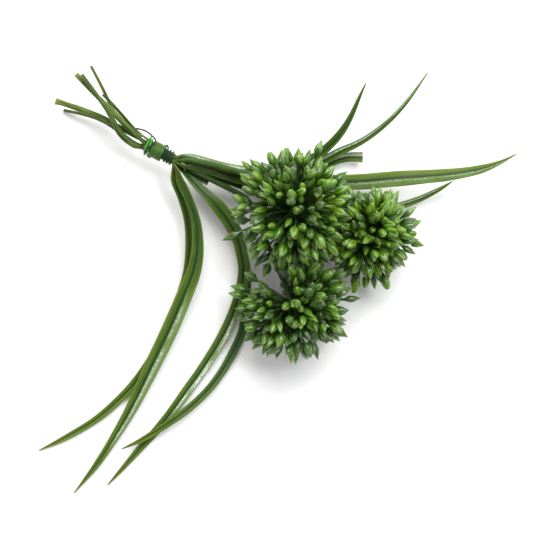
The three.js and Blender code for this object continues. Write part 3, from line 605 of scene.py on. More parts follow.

# %% [markdown]
# ## Leaves
#
# A chive leaf is a long strap with a groove down its middle and a tapered tip. A flat plane with a bend
# modifier would lose the groove and the thickness, so each blade is lofted: a thin channel of fifteen
# points on each face travels along the leaf's route, wide where the photo shows it wide.

# %% Leaf routes
# Rows are [x, y, z, width, roll in degrees]. Fold is 1 for a channel and -1 for a blade with its ridge up.
# Rows behind the tie have no roll, because it grows evenly to the roll in the slot.
# Pale is how strong the waxy pale side with its painted reflection and glints is, and its sign is the side
# that it lies on; the painted shade of the fold lies on the other side. The pair after it is the stretch of
# the leaf that has them. Tint goes from yellow green at 0 to blue green at 1, with a value for the tip where
# that differs, and dry is how brown the edges are.
LEAVES = {
    "leaf_1": dict(slot=182, fold=1, pale=-0.2, wax_and_highlight=(0.4, 1.0), tint=0.0, dry=0.9, behind=[], front=[
        [-44, 45.4, 14.2, 2.2, 50],
        [-43.6, 41.5, 13.8, 3.3, 25],
        [-40.6, 34, 12.3, 3.3, 15],
        [-38, 24, 9.8, 3.4, 12],
        [-37.4, 13.5, 7.5, 3.6, 0],
        [-38.3, 3.5, 5.8, 3.6, 0],
        [-40.6, -5, 4.8, 3.7, 0],
        [-45.3, -18, 3.9, 3.8, 5],
        [-51.5, -30.5, 3.2, 3.8, 8],
        [-60, -43.5, 2.4, 4, 8],
        [-68, -52, 1.9, 3.5, 8],
        [-78, -60.5, 1.4, 3.1, 6],
        [-93, -69.3, 1, 2.2, 3],
        [-102, -73.5, 0.8, 0.4, 0],
    ]),
    "leaf_2": dict(slot=149, fold=1, pale=-0.8, wax_and_highlight=(0.4, 0.9), tint=0.4, dry=0.3, behind=[], front=[
        [-42.1, 45.2, 16.3, 2.2, -40],
        [-40.8, 41, 16.2, 3.5, -20],
        [-37.4, 33.8, 15.3, 3.6, -14],
        [-34.3, 23.7, 13.5, 4.2, -10],
        [-33.8, 12, 11.8, 5.2, 0],
        [-35.6, 2.7, 10.5, 6.2, 4],
        [-39.3, -6.6, 9.5, 6.8, 6],
        [-46, -22, 8, 7.1, 8],
        [-54.3, -39, 6.2, 6.6, 8],
        [-62.8, -56.2, 4, 5, 6],
        [-70.4, -69, 2.8, 3.7, 4],
        [-77.7, -80, 1.8, 2.7, 3],
        [-87, -91.7, 0.8, 0.4, 0],
    ]),
    "leaf_3": dict(slot=214, fold=1, pale=-1.35, wax_and_highlight=(0.57, 0.84), tint=0.5, dry=0.6, behind=[
        [-91.5, 72, 0.8, 1.2],
        [-84, 70.2, 3.8, 1.2],
        [-76, 67.6, 6.6, 1.2],
        [-69, 63.4, 9, 1.4],
        [-64.4, 58.9, 10.8, 2.2],
        [-60.6, 55.7, 12.2, 1.6],
    ], front=[
        [-38, 43.3, 12.6, 3.2, 40],
        [-32.1, 37.2, 12, 4.2, 20],
        [-25.3, 30.5, 10.5, 6, 8],
        [-20.3, 23.9, 8.7, 6, 0],
        [-16.7, 17, 7.2, 5.6, 0],
        [-15.2, 10.3, 6.2, 5, 0],
        [-14.2, 3.5, 5.4, 5.2, 0],
        [-16.7, -9.3, 4.4, 5.2, 3],
        [-22, -22, 3.6, 4.9, 5],
        [-29.6, -35, 3, 4.7, 8],
        [-38.6, -47.8, 2.4, 4.5, 8],
        [-48, -60.5, 1.8, 3.9, 5],
        [-59.6, -73.5, 1.3, 2.9, 4],
        [-67, -82, 1, 1.8, 2],
        [-72.7, -88.3, 0.8, 0.4, 0],
    ]),
    "leaf_4": dict(slot=245, fold=1, pale=-0.2, wax_and_highlight=(0.6, 0.9), tint=0.9, tip_tint=0.35, dry=0.8, behind=[
    ], front=[
        [-36.8, 42.5, 8.4, 2, 20],
        [-31.2, 37.4, 8.8, 3, 10],
        [-25, 30.7, 7.2, 4, 0],
        [-19.7, 24, 5.5, 4.4, 0],
        [-16.3, 17, 4, 4.2, 0],
        [-14.8, 10.3, 2.9, 4, 0],
        [-13.8, 3.5, 2.2, 4, 0],
        [-13.4, -9.3, 1.8, 3.9, 0],
        [-15, -22, 1.8, 3.9, 5],
        [-18.7, -30.7, 2.2, 3.8, 8],
        [-23.4, -39.2, 2.8, 3.6, 8],
        [-29.8, -47.7, 3.6, 3.4, 8],
        [-38.7, -56, 4.4, 3.4, 6],
        [-47.8, -62.5, 4.6, 2.9, 5],
        [-58.3, -69, 4, 2.1, 3],
        [-66.6, -72.8, 2.8, 0.4, 0],
    ]),
    "leaf_5": dict(slot=117, fold=-1, pale=0.6, wax_and_highlight=(0.5, 1.1), tint=0.0, dry=0.2, behind=[], front=[
        [-40, 47.4, 16.5, 1.2, -22],
        [-36, 46.8, 16.2, 2.4, -15],
        [-26, 44.6, 14.6, 3.6, -8],
        [-14.5, 42, 12.4, 5, -5],
        [1, 41.2, 8, 6.2, 0],
        [18, 40.8, 6.8, 6.6, 0],
        [35, 41, 10.4, 6.6, 5],
        [47.4, 42, 13, 6.7, 8],
        [60, 42.8, 15.2, 6, 8],
        [72.2, 43.7, 17.4, 5.1, 8],
        [84.5, 45.7, 19.4, 3.7, 6],
        [92.7, 48.5, 20.7, 1.9, 3],
        [99.5, 52, 21.5, 0.4, 0],
    ]),
    "leaf_6": dict(slot=53, fold=1, pale=-0.9, wax_and_highlight=(0.1, 0.6), tint=0.6, dry=0.5, behind=[], front=[
        [-40, 51.7, 16.1, 1.2, 28],
        [-37, 51.2, 15.6, 2.6, 10],
        [-32.5, 49.8, 15.6, 3.5, 10],
        [-26, 47.8, 15.8, 3.6, 12],
        [-20, 46.3, 15.2, 4, 15],
        [-12.4, 45.4, 13.6, 4.2, 12],
        [3, 47.6, 9.6, 4.2, 5],
        [15, 51, 9, 4, -5],
        [22.2, 56.7, 12, 3.6, -15],
        [27.1, 62.3, 15, 3.1, -18],
        [30.7, 68.4, 18, 2.4, -20],
        [33.9, 75.6, 21, 1.4, -20],
        [36.5, 81.2, 23, 0.4, -20],
    ]),
    "leaf_7": dict(slot=10, fold=1, pale=-1, wax_and_highlight=(0.1, 1.1), tint=0.5, dry=0.3, behind=[
        [-78.2, 89, 17.5, 1.2],
        [-73.6, 80, 16.9, 1.3],
        [-70.5, 73.4, 14.9, 1.3],
        [-67.6, 68.1, 14.2, 1.3],
        [-62.8, 63.2, 14.4, 1.1],
    ], front=[
        [-36, 50, 13.9, 2.2, 40],
        [-26, 46.9, 12.2, 3, 20],
        [-12, 44.6, 8.6, 3.4, 5],
        [6.5, 45.5, 5, 3.8, 0],
        [19, 50, 5.8, 3.8, -5],
        [26.6, 54, 8, 3.4, -8],
        [32.5, 56.5, 10, 3, -12],
        [39.2, 60.4, 12, 2.6, -15],
        [47.5, 67.1, 14.5, 2.1, -20],
        [54.5, 74.8, 16.5, 1.6, -20],
        [62.7, 86.2, 18, 0.4, -20],
    ]),
    "leaf_8": dict(slot=338, fold=1, pale=-1.2, wax_and_highlight=(0.2, 1.1), tint=0.6, dry=0.2, behind=[
        [-73.5, 77.6, 13.5, 1.5],
        [-70.3, 74.2, 13, 1.3],
        [-65.5, 69, 12.8, 1.3],
        [-59.7, 62.6, 13, 1.1],
    ], front=[
        [-35.5, 49.4, 11.6, 2.2, -40],
        [-24.5, 45.6, 8.6, 3, -15],
        [-9.5, 43, 5, 3.6, 0],
        [7.5, 43.3, 2.6, 3.8, 0],
        [19, 47.6, 2.8, 3.8, -3],
        [25.7, 50.8, 3.6, 3.9, -6],
        [31, 51.8, 4.6, 4, -10],
        [36.2, 51.6, 5.5, 4.4, -10],
    ]),
    "leaf_9": dict(slot=307, fold=1, pale=-0.9, wax_and_highlight=(0.3, 1.0), tint=0.2, dry=0.3, behind=[], front=[
        [-35, 47.3, 9.6, 1.8, -20],
        [-23.5, 42.4, 6.6, 3, -5],
        [-8, 37, 4, 3.4, 0],
        [9.5, 31.2, 2, 3.6, 0],
        [27, 28.2, 1.5, 3.6, 0],
        [42, 28.4, 1.8, 3.2, 0],
        [52.4, 31.1, 2.4, 3.1, -4],
        [61, 34.1, 3, 2.6, -6],
        [69.4, 38.3, 4, 1.7, -8],
        [74.5, 41.4, 5, 0.4, -8],
    ]),
    "leaf_stub": dict(slot=276, fold=1, pale=0, wax_and_highlight=(0, 1), tint=1.0, dry=0.3, behind=[], front=[
        [-37.6, 45.9, 11.2, 1.8, 0],
        [-33.3, 43, 10.5, 3.4, 0],
        [-29.2, 40.7, 10.6, 3.2, 0],
    ]),
}


NARROWEST_TIP = 0.35


def leaf_rows(leaf):
    """A leaf's rows from its cut end to its tip."""
    roll = (180 - leaf["slot"]) % 180 - 90
    behind = [[*row, roll * i / len(leaf["behind"])] for i, row in enumerate(leaf["behind"])]
    return behind + slot_rows(leaf["slot"], LEAF_SLOT_RADIUS, LEAF_WIDTH_IN_TIE, roll) + leaf["front"]


def blade_route(leaf, steps_per_row):
    """A leaf's route with the directions across its blade and out of its upper face."""
    route = route_along(leaf_rows(leaf), steps_per_row)
    roll = np.radians(route.values[:, 1])[:, None]
    route.side = np.cos(roll) * route.level + np.sin(roll) * route.rise
    route.face = unit(np.cross(route.side, route.tangent))
    route.width = np.maximum(route.values[:, 0], NARROWEST_TIP)
    return route


print(len(LEAVES), "leaf routes")

# %% Numbers for the leaf finish
FADE_SHARE = 0.06
STALK_SHARE = 0.14
# The shares of a leaf between which its tint changes to the tip's
TINT_CHANGE = [0.55, 0.95]


def blade_numbers(leaf, route, ring_across):
    """What the leaf finish reads, with one number for each point of each ring."""
    share = route.run / route.run[-1]
    start, end = leaf["wax_and_highlight"]
    wax_and_highlight = np.clip(np.minimum(share - start, end - share) / FADE_SHARE, 0, 1)
    tint = np.interp(share, TINT_CHANGE, [leaf["tint"], leaf.get("tip_tint", leaf["tint"])])
    tint = tint * np.clip((share - STALK_SHARE) / FADE_SHARE, 0, 1)
    ring_size = len(ring_across)
    point_count = len(share) * ring_size
    return {
        "across": np.tile(ring_across, len(share)),
        "run": np.repeat(route.run, ring_size),
        "along": np.repeat(share, ring_size),
        "tint": np.repeat(tint, ring_size),
        "pale": np.repeat(abs(leaf["pale"]) * wax_and_highlight, ring_size),
        "side": np.full(point_count, math.copysign(1, leaf["pale"])),
        "dry": np.full(point_count, leaf["dry"]),
    }


# %% Leaf blades
LEAF_COLUMNS = 15
LEAF_STEPS_PER_ROW = 10
CHANNEL_DEPTH_SHARE = 0.12
CHANNEL_CURVE = 1.25
WIDE_BLADE = 4.0
EDGE_THICKNESS = 0.34
MIDDLE_THICKNESS = 0.8
NARROW_THICKNESS = 0.66
GROOVE_DEPTH = 0.14
GROOVE_WIDTH = 0.12
KEEL_DEPTH = 0.2
KEEL_WIDTH = 0.2
EDGE_WAVE = 0.22
EDGE_WAVE_LENGTH = 17.0
WAVE_SHIFT_BY_TINT = 9


def blade(name, leaf):
    """One leaf as a closed thin channel, groove on the upper face and keel on the lower."""
    route = blade_route(leaf, LEAF_STEPS_PER_ROW)
    across = np.linspace(-1, 1, LEAF_COLUMNS)[None, :]
    spare_width = np.maximum(route.width - LEAF_WIDTH_IN_TIE, 0)[:, None]
    breadth = np.clip(spare_width / WIDE_BLADE, 0, 1)
    lift = leaf["fold"] * CHANNEL_DEPTH_SHARE * spare_width * np.abs(across) ** CHANNEL_CURVE
    wave = np.sin(route.run / EDGE_WAVE_LENGTH * 2 * math.pi + WAVE_SHIFT_BY_TINT * leaf["tint"])[:, None]
    lift = lift + EDGE_WAVE * breadth * wave * across * np.abs(across)
    wide_half = (EDGE_THICKNESS + (MIDDLE_THICKNESS - EDGE_THICKNESS) * (1 - across**2)) / 2
    half = NARROW_THICKNESS / 2 * (1 - breadth) + wide_half * breadth
    groove = leaf["fold"] * GROOVE_DEPTH * breadth * np.exp(-((across / GROOVE_WIDTH) ** 2))
    keel = KEEL_DEPTH * breadth * np.exp(-((across / KEEL_WIDTH) ** 2))
    flat = route.places[:, None] + (across * route.width[:, None] / 2)[..., None] * route.side[:, None]
    top = flat + (lift + half - groove)[..., None] * route.face[:, None]
    bottom = flat + (lift - half - keel)[..., None] * route.face[:, None]
    rings = np.concatenate([top, bottom[:, ::-1]], axis=1)
    ring_size = 2 * LEAF_COLUMNS
    faces = ring_faces(len(rings), ring_size)
    last = (len(rings) - 1) * ring_size
    for i in range(LEAF_COLUMNS - 1):
        j = ring_size - 1 - i
        faces.append((i, j, j - 1, i + 1))
        faces.append((last + i, last + i + 1, last + j - 1, last + j))
    attributes = blade_numbers(leaf, route, np.concatenate([across[0], across[0, ::-1]]))
    return mesh_piece(name + "_blade", rings.reshape(-1, 3), faces, attributes, LEAF_FINISH)


for name, leaf in LEAVES.items():
    finished(blade(name, leaf), name)

# %% [markdown]
# ## Flower stems
#
# A flower stem is a slim round stalk with faint ridges. It is cut off square at one end, and at the other
# it swells into a small knob that all the bud stalks grow from. A bevelled curve would be quick, but the
# ridges, the hollow cut and the knob come more easily from rings of points along the route.

# %% Stem routes
# Rows are [x, y, z, radius] from the cut end to the middle of the head.
# Round that middle, a lobe is a direction and how much further the buds reach there, a stray is the
# direction and reach of one bud that stands out, and a gap is the axis and angle of a cone without buds.
# Ripest is how yellow the yellowest bud is, and the painted shade is how much darker a stem is drawn because
# it lies in shadow.
FLOWER_STEMS = {
    "flower_stem_1": dict(slot=90, behind=[
        [-84.5, 85.7, 16, 1.1],
        [-76.6, 77.3, 16.3, 1],
        [-69.4, 70.2, 16.5, 1.2],
        [-63, 63.6, 16.7, 1.2],
        [-58.8, 59.9, 16.5, 1],
    ], front=[
        [-34.5, 49.2, 18.5, 1.15],
        [-23, 46.6, 19.2, 1.2],
        [-11.5, 42.6, 20.8, 1.2],
        [-2, 36, 25.2, 1.15],
        [6.5, 28, 31, 1.1],
    ], head_radius=28, head_axis=[0.55, -0.45, 0.7], buds=270,
        lobes=[],
        strays=[
            [-0.4, -0.85, -0.33, 32.5],
            [-0.55, -0.78, -0.3, 30],
            [-0.42, -0.91, -0.04, 25],
            [-0.17, -0.95, -0.27, 26],
            [-0.3, -0.9, -0.3, 28],
            [0.18, -0.96, -0.21, 23.5],
            [-1, 0.02, 0, 27],
            [-0.93, -0.36, 0, 32.2],
            [-0.72, 0.69, 0, 30.3],
            [-0.62, 0.78, 0.05, 28.3],
            [-0.13, 0.99, 0, 27],
            [0.38, 0.92, 0, 31.5],
            [0.8, 0.6, 0, 27.5],
            [-0.39, 0.92, 0, 27.3],
            [0.08, 0.99, 0.1, 26.3],
            [0.24, 0.97, 0.05, 26.6],
            [0.69, 0.72, 0, 24.5],
            [-0.82, -0.52, -0.25, 25],
            [0.59, -0.71, -0.39, 26.5],
            [0.44, -0.82, -0.37, 27],
            [0.7, -0.6, -0.38, 27],
            [0.62, -0.68, -0.2, 22.5],
            [0.72, -0.6, -0.12, 24],
        ], gaps=[[-0.33, -0.05, 0.94, 17], [-0.42, -0.06, -0.9, 24]], ripest=0.95, shade=0.0, seed=11),
    "flower_stem_2": dict(slot=330, behind=[
        [-93.8, 75, 10, 1.5],
        [-92, 74.5, 10.1, 1.2],
        [-82.5, 71.2, 10.6, 1.2],
        [-74, 67.8, 11.4, 1.2],
        [-68, 64.6, 12.2, 1.1],
        [-62.5, 61.4, 12.9, 1],
        [-58.6, 59.2, 13.7, 0.85],
    ], front=[
        [-32.5, 47, 12.6, 1.1],
        [-20, 43, 9.9, 1.1],
        [-5, 36, 8.5, 1.1],
        [11.5, 27.5, 9.5, 1.1],
        [27, 21.5, 14.5, 1.1],
        [38.8, 17.8, 20.3, 1.1],
    ], head_radius=22, head_axis=[1, -0.25, 0.1], buds=240,
        lobes=[[-0.35, 0.9, 0.2, 0.1], [0.75, -0.66, 0, -0.1]],
        strays=[
            [-0.34, -0.9, -0.26, 24],
            [-0.1, -0.96, -0.27, 23.3],
            [0.07, -0.97, -0.26, 23.4],
            [-0.29, -0.95, -0.1, 26],
            [-0.32, 0.92, -0.22, 20.5],
            [0.31, 0.95, 0, 20.5],
            [0.53, 0.85, 0, 22.4],
            [0.86, 0.51, 0, 22.8],
            [0.99, -0.15, 0, 23],
            [0.285, -0.96, 0, 24.3],
            [0.965, 0.26, 0, 22.4],
            [0.08, 0.99, 0.05, 20.6],
            [-0.52, -0.82, -0.2, 22],
            [-0.68, -0.68, -0.25, 21],
            [-0.93, -0.35, 0.1, 19.5],
            [-0.84, -0.52, 0, 20.5],
            [-0.4, -0.86, -0.3, 21],
        ], gaps=[], ripest=1.0, shade=0.15, seed=23),
    "flower_stem_3": dict(slot=210, behind=[
        [-81.8, 85.2, 19.5, 0.8],
        [-75, 75.8, 19.3, 0.9],
        [-71.6, 71, 19, 0.95],
        [-69, 66.4, 18.4, 1.05],
        [-66.2, 61.2, 16.8, 1.35],
        [-62.5, 57.8, 15.5, 1.5],
        [-59.3, 56.1, 14.9, 1.25],
    ], front=[
        [-36, 45.6, 13.9, 1.1],
        [-27.5, 41.4, 13.2, 1.1],
        [-17.5, 36.4, 11.4, 1.2],
        [-12, 32.4, 10.4, 1.2],
        [-7, 21, 9.6, 1.1],
        [0, 4.5, 13, 1.1],
        [6.8, -10.3, 22.6, 1.1],
    ], head_radius=26.5, head_axis=[0.2, -0.9, 0.35], buds=250,
        lobes=[],
        strays=[
            [-0.81, 0.49, -0.32, 26.8],
            [-0.96, 0.27, -0.09, 28],
            [-0.98, 0.16, -0.09, 28.2],
            [1, 0.08, 0, 28],
            [0.83, 0.53, 0.2, 26.5],
            [0.93, 0.37, 0.06, 24.6],
            [0.855, -0.52, 0, 26.5],
            [0, -1, 0, 25.5],
            [-0.53, -0.85, 0, 25.5],
            [-0.8, -0.6, 0, 26.5],
            [-0.67, -0.74, -0.1, 26.5],
            [-0.3, -0.95, 0, 24.5],
            [0.64, -0.77, 0, 22.5],
            [0.97, 0.22, 0.05, 25],
            [0.58, 0.8, -0.1, 21.5],
            [0.74, 0.66, -0.1, 23],
            [0.9, 0.42, -0.2, 23.5],
        ], gaps=[
            [-0.68, 0.7, 0.1, 26],
            [-0.55, 0.57, 0.6, 22],
            [-0.34, 0.36, 0.87, 18],
            [-0.6, 0.62, -0.5, 22],
        ], ripest=0.5, shade=0.45, seed=37),
}


def stem_rows(stem):
    """A flower stem's rows from its cut end to the middle of its head."""
    return stem["behind"] + slot_rows(stem["slot"], STEM_SLOT_RADIUS, STEM_RADIUS_IN_TIE) + stem["front"]


print(len(FLOWER_STEMS), "flower stem routes")

# %% Stems
STEM_SIDES = 20
STEM_STEPS_PER_ROW = 8
STEM_RIDGES = 7
STEM_RIDGE_DEPTH = 0.035
# Rings inside the cut end are (share of the radius, depth)
CUT_HOLLOW = [(0.55, 0.35), (0.8, 0.12)]
KNOB_RADIUS = 2.9
KNOB_REACH = 6.0
KNOB_DOME_STEPS = 5


def stalk(name, stem):
    """The stem from its hollowed cut end to the round knob in the head."""
    route = route_along(stem_rows(stem), STEM_STEPS_PER_ROW)
    left = route.run[-1] - route.run
    swell = np.clip(1 - left / KNOB_REACH, 0, 1) ** 2
    radius = route.values[:, 0] * (1 - swell) + KNOB_RADIUS * swell
    cut = route.places[0]
    inward = route.tangent[0]
    stations = [(cut + depth * inward, share * radius[0], 0) for share, depth in CUT_HOLLOW]
    stations += [(place, r, i) for i, (place, r) in enumerate(zip(route.places, radius))]
    for step in range(1, KNOB_DOME_STEPS):
        turn = step / KNOB_DOME_STEPS * math.pi / 2
        place = route.places[-1] + KNOB_RADIUS * math.sin(turn) * route.tangent[-1]
        stations.append((place, KNOB_RADIUS * math.cos(turn), -1))
    angle = -2 * math.pi * np.arange(STEM_SIDES) / STEM_SIDES
    ridge = 1 + STEM_RIDGE_DEPTH * np.cos(STEM_RIDGES * angle)
    across = (ridge * np.cos(angle))[:, None]
    upward = (ridge * np.sin(angle))[:, None]
    rings = np.array([
        place + r * across * route.level[i] + r * upward * route.rise[i]
        for place, r, i in stations
    ])
    faces = capped_faces(len(rings), STEM_SIDES)
    run = np.array([route.run[i] for _, _, i in stations])
    attributes = {
        "around": np.tile(round_number(angle), len(rings)),
        "run": np.repeat(run, STEM_SIDES),
        "along": np.repeat(run / route.run[-1], STEM_SIDES),
        "shade": np.full(len(rings) * STEM_SIDES, stem["shade"]),
    }
    return mesh_piece(name + "_stalk", rings.reshape(-1, 3), faces, attributes, STEM_FINISH)


for name, stem in FLOWER_STEMS.items():
    finished(stalk(name, stem), name)

# %% [markdown]
# ## One bud
#
# A closed bud is a plump drop: a funnel that grows out of its stalk, a belly of three outer petals with
# dark slits between them, and a short pointed tip. It repeats hundreds of times, so it has few faces:
# twelve columns, where every fourth column is a slit. Three forms keep the heads from looking stamped.

# %% Bud forms
BUD_LENGTH = 8.8
BUD_PETALS = 3
PETAL_ANGLES = (0, 14, 60, 106)
SLIT_DEPTH = 0.3
PETAL_SWELL = 0.05
TIP_HOOK = 0.3
TIP_SEAM = 0.3
# Shares of the length where the slits are at their deepest and at their darkest
DEEP_SLIT_SHARE = 0.45
DARK_SLIT_SHARE = 0.3
# Outlines are (share of the length, radius in millimetres) from the neck to the tip, and parting is how
# far the slits lie below the petals at the tip
BUD_FORMS = {
    "full_bud": dict(
        outline=[(0, 0.36), (0.18, 0.8), (0.38, 1.95), (0.6, 1.75), (0.82, 0.75)],
        parting=0.0,
    ),
    "slim_bud": dict(
        outline=[(0, 0.36), (0.2, 0.7), (0.4, 1.5), (0.62, 1.35), (0.83, 0.6)],
        parting=0.0,
    ),
    "parting_bud": dict(
        outline=[(0, 0.36), (0.18, 0.75), (0.4, 1.85), (0.66, 1.65), (0.87, 0.9)],
        parting=0.8,
    ),
}


def bud_form(name, outline, parting):
    """A bud along +Z with its neck at the origin, slits between its petals and a leaning tip."""
    petal_width = 360 / BUD_PETALS
    degrees = np.array([petal_width * petal + turn for petal in range(BUD_PETALS) for turn in PETAL_ANGLES])
    angle = np.radians(degrees)
    columns = len(angle)
    in_slit = degrees % petal_width == 0
    points, along, seam = [], [], []
    for share, radius in outline:
        depth = min(1, share / DEEP_SLIT_SHARE)
        r = radius * np.where(in_slit, 1 - SLIT_DEPTH * depth, 1 + PETAL_SWELL * depth)
        z = share * BUD_LENGTH - np.where(in_slit, parting * share**3, 0)
        points.append(np.stack([r * np.cos(angle) + TIP_HOOK * share**3, r * np.sin(angle), z], axis=1))
        along.append(np.full(columns, share))
        seam.append(np.where(in_slit, min(1, share / DARK_SLIT_SHARE), 0))
    tip = len(outline) * columns
    points.append([[TIP_HOOK, 0, BUD_LENGTH - parting]])
    faces = ring_faces(len(outline), columns)
    faces += [(tip - columns + i, tip - columns + (i + 1) % columns, tip) for i in range(columns)]
    attributes = {
        "along": np.append(np.concatenate(along), 1.0),
        "seam": np.append(np.concatenate(seam), TIP_SEAM),
        "around": np.append(np.tile(round_number(angle), len(outline)), 0.0),
    }
    return mesh_piece(name, np.concatenate(points) - BUNCH_SHIFT, faces, attributes, BUD_FINISH)


bud_forms = [bud_form(name, **form) for name, form in BUD_FORMS.items()]
print("bud forms:", ", ".join(form.name for form in bud_forms))

# %% [markdown]
# ## Where the buds go
#
# In a head the buds point out of one middle like the seeds of a dandelion. Those that stand out of the
# outline are listed one by one. For the rest, a golden-angle spiral spreads them evenly, and small seeded
# shifts make it natural. Such a bud is shortened, or left out, where it would cross the table, a leaf or
# another stem, or reach far past the plane that parts two heads. The bare cones of a head get none.

# %% Where a bud has room
CLEARANCE = 0.2
HEAD_MINGLE = 3.0
OBSTACLE_STEPS_PER_ROW = 6
OBSTACLE_HALF_THICKNESS = 0.5
TEST_START = 4
TEST_POINTS = 24
# A bud's room is (share of the length, radius) from the neck to the tip
BUD_RADII = [(0, 0.4), (0.22, 0.9), (0.44, 1.8), (0.68, 1.5), (1, 0.0)]


def head_middle(stem):
    return np.array(stem["front"][-1][:3], float)


def parting_planes(stem):
    """Direction and distance of the planes that part a head from its neighbours."""
    planes = []
    for other in FLOWER_STEMS.values():
        if other is stem:
            continue
        away = head_middle(other) - head_middle(stem)
        distance = np.linalg.norm(away)
        offset = (distance**2 + stem["head_radius"] ** 2 - other["head_radius"] ** 2) / (2 * distance)
        planes.append((away / distance, offset))
    return planes


def obstacles_near(stem):
    """Short stretches of the leaves and other stems near a head: middles, directions and half sizes."""
    stretches = []
    for leaf in LEAVES.values():
        route = blade_route(leaf, OBSTACLE_STEPS_PER_ROW)
        thickness = OBSTACLE_HALF_THICKNESS + CHANNEL_DEPTH_SHARE * route.width
        stretches.append((route, route.side, route.face, route.width / 2, thickness))
    for other in FLOWER_STEMS.values():
        if other is not stem:
            route = route_along(stem_rows(other), OBSTACLE_STEPS_PER_ROW)
            radius = route.values[:, 0]
            stretches.append((route, route.level, route.rise, radius, radius))
    places = np.concatenate([route.places for route, *_ in stretches])
    axes = np.concatenate([
        np.stack([side, face, route.tangent], axis=1)
        for route, side, face, _, _ in stretches
    ])
    halves = np.concatenate([
        np.stack([width, thickness, np.gradient(route.run) / 2], axis=1)
        for route, _, _, width, thickness in stretches
    ])
    near = np.linalg.norm(places - head_middle(stem), axis=1) < stem["head_radius"] + WIDE_BLADE
    return SimpleNamespace(places=places[near], axes=axes[near], halves=halves[near])


def is_clear(middle, direction, reach, planes, obstacles):
    """Whether a bud with this direction and reach is above the table and clear of everything else."""
    distance = np.linspace(TEST_START, reach, TEST_POINTS)
    shares, radii = zip(*BUD_RADII)
    radius = np.interp((distance - reach) / BUD_LENGTH + 1, shares, radii)
    points = middle + distance[:, None] * direction
    if np.any(points[:, 2] - radius < TABLE_HEIGHT):
        return False
    for towards, offset in planes:
        if np.any(distance * (direction @ towards) + radius > offset + HEAD_MINGLE):
            return False
    away = points[:, None] - obstacles.places[None]
    beyond = np.maximum(np.abs(np.einsum("boi,oki->bok", away, obstacles.axes)) - obstacles.halves, 0)
    return bool(np.all(np.linalg.norm(beyond, axis=2) > radius[:, None] + CLEARANCE))


print("a bud of the spiral is tested at", TEST_POINTS, "places along it")

# %% Lobes, gaps and buds listed one by one
LOBE_SHARPNESS = 6


def stray_places(stem):
    """Directions and reaches of the buds that are listed one by one."""
    return [(heading_of(towards), reach) for *towards, reach in stem["strays"]]


def lobe_share(stem, direction):
    """How much further than its head's radius a bud reaches, where the head has a lobe."""
    share = 1
    for *towards, extra in stem["lobes"]:
        facing = max(direction @ heading_of(towards), 0)
        share += extra * facing**LOBE_SHARPNESS
    return share


def in_gap(stem, direction):
    """Whether a direction lies in one of the head's bare cones."""
    cones = [(heading_of(towards), math.radians(angle)) for *towards, angle in stem["gaps"]]
    return any(direction @ axis > math.cos(angle) for axis, angle in cones)


print("buds placed by hand:", {name: len(stem["strays"]) for name, stem in FLOWER_STEMS.items()})

# %% The places of the buds
GOLDEN_ANGLE = math.pi * (3 - math.sqrt(5))
BARE_ANGLE = math.radians(36)
DIRECTION_JITTER = 0.09
REACH_JITTER = 0.12
INNER_SHARE = 0.4
INNER_DROP = 0.22
SHORTEST_REACH_SHARE = 0.45
STRAY_ROOM = math.radians(7)
REACH_STEP_SHARE = 0.03


def bud_places(stem):
    """Directions and reaches of a head's buds."""
    draw = random.Random(stem["seed"])
    middle = head_middle(stem)
    axis = heading_of(stem["head_axis"])
    side = unit(np.cross(axis, UP))
    other_side = np.cross(axis, side)
    planes = parting_planes(stem)
    obstacles = obstacles_near(stem)
    strays = stray_places(stem)
    places = list(strays)
    for bud in range(stem["buds"]):
        cosine = 1 - (bud + 0.5) / stem["buds"] * (1 + math.cos(BARE_ANGLE))
        sine = math.sqrt(1 - cosine**2)
        turn = bud * GOLDEN_ANGLE
        shift = np.array([draw.uniform(-1, 1) for _ in range(3)]) * DIRECTION_JITTER
        outward = math.cos(turn) * side + math.sin(turn) * other_side
        direction = unit(cosine * axis + sine * outward + shift)
        share = 1 - draw.random() * REACH_JITTER - (INNER_DROP if draw.random() < INNER_SHARE else 0)
        share *= lobe_share(stem, direction)
        if in_gap(stem, direction):
            continue
        if any(direction @ stray > math.cos(STRAY_ROOM) for stray, _ in strays):
            continue
        while share > SHORTEST_REACH_SHARE:
            if is_clear(middle, direction, share * stem["head_radius"], planes, obstacles):
                places.append((direction, share * stem["head_radius"]))
                break
            share -= REACH_STEP_SHARE
    return places


bud_plan = {name: bud_places(stem) for name, stem in FLOWER_STEMS.items()}
print("buds:", {name: len(places) for name, places in bud_plan.items()})

# %% [markdown]
# ## Heads by Geometry Nodes
#
# The bud stalks are bare wires first: a few points from the knob to the neck of each bud. The node tree
# then does what repeats. It sweeps a small round section along every wire, sets a bud on the end of each
# one along its stored heading, turns and tints it by seeded draws, and realizes it all into plain mesh.

# %% The wires of the bud stalks
BUD_TILT = 0.5
STRAY_TILT = 0.1
WIRE_ROOT = 2.0
WIRE_EASE = 3.0
WIRE_POINTS = 4
TABLE_ROOM = 0.2
BUD_SIZE_RANGE = (0.82, 1.12)


def wire_object(name, points, edges):
    """Bare wires through points in the bunch's millimetres."""
    mesh = bpy.data.meshes.new(name)
    mesh.from_pydata([tuple((point + BUNCH_SHIFT) * MILLIMETRE) for point in points], edges, [])
    return placed(name, mesh)


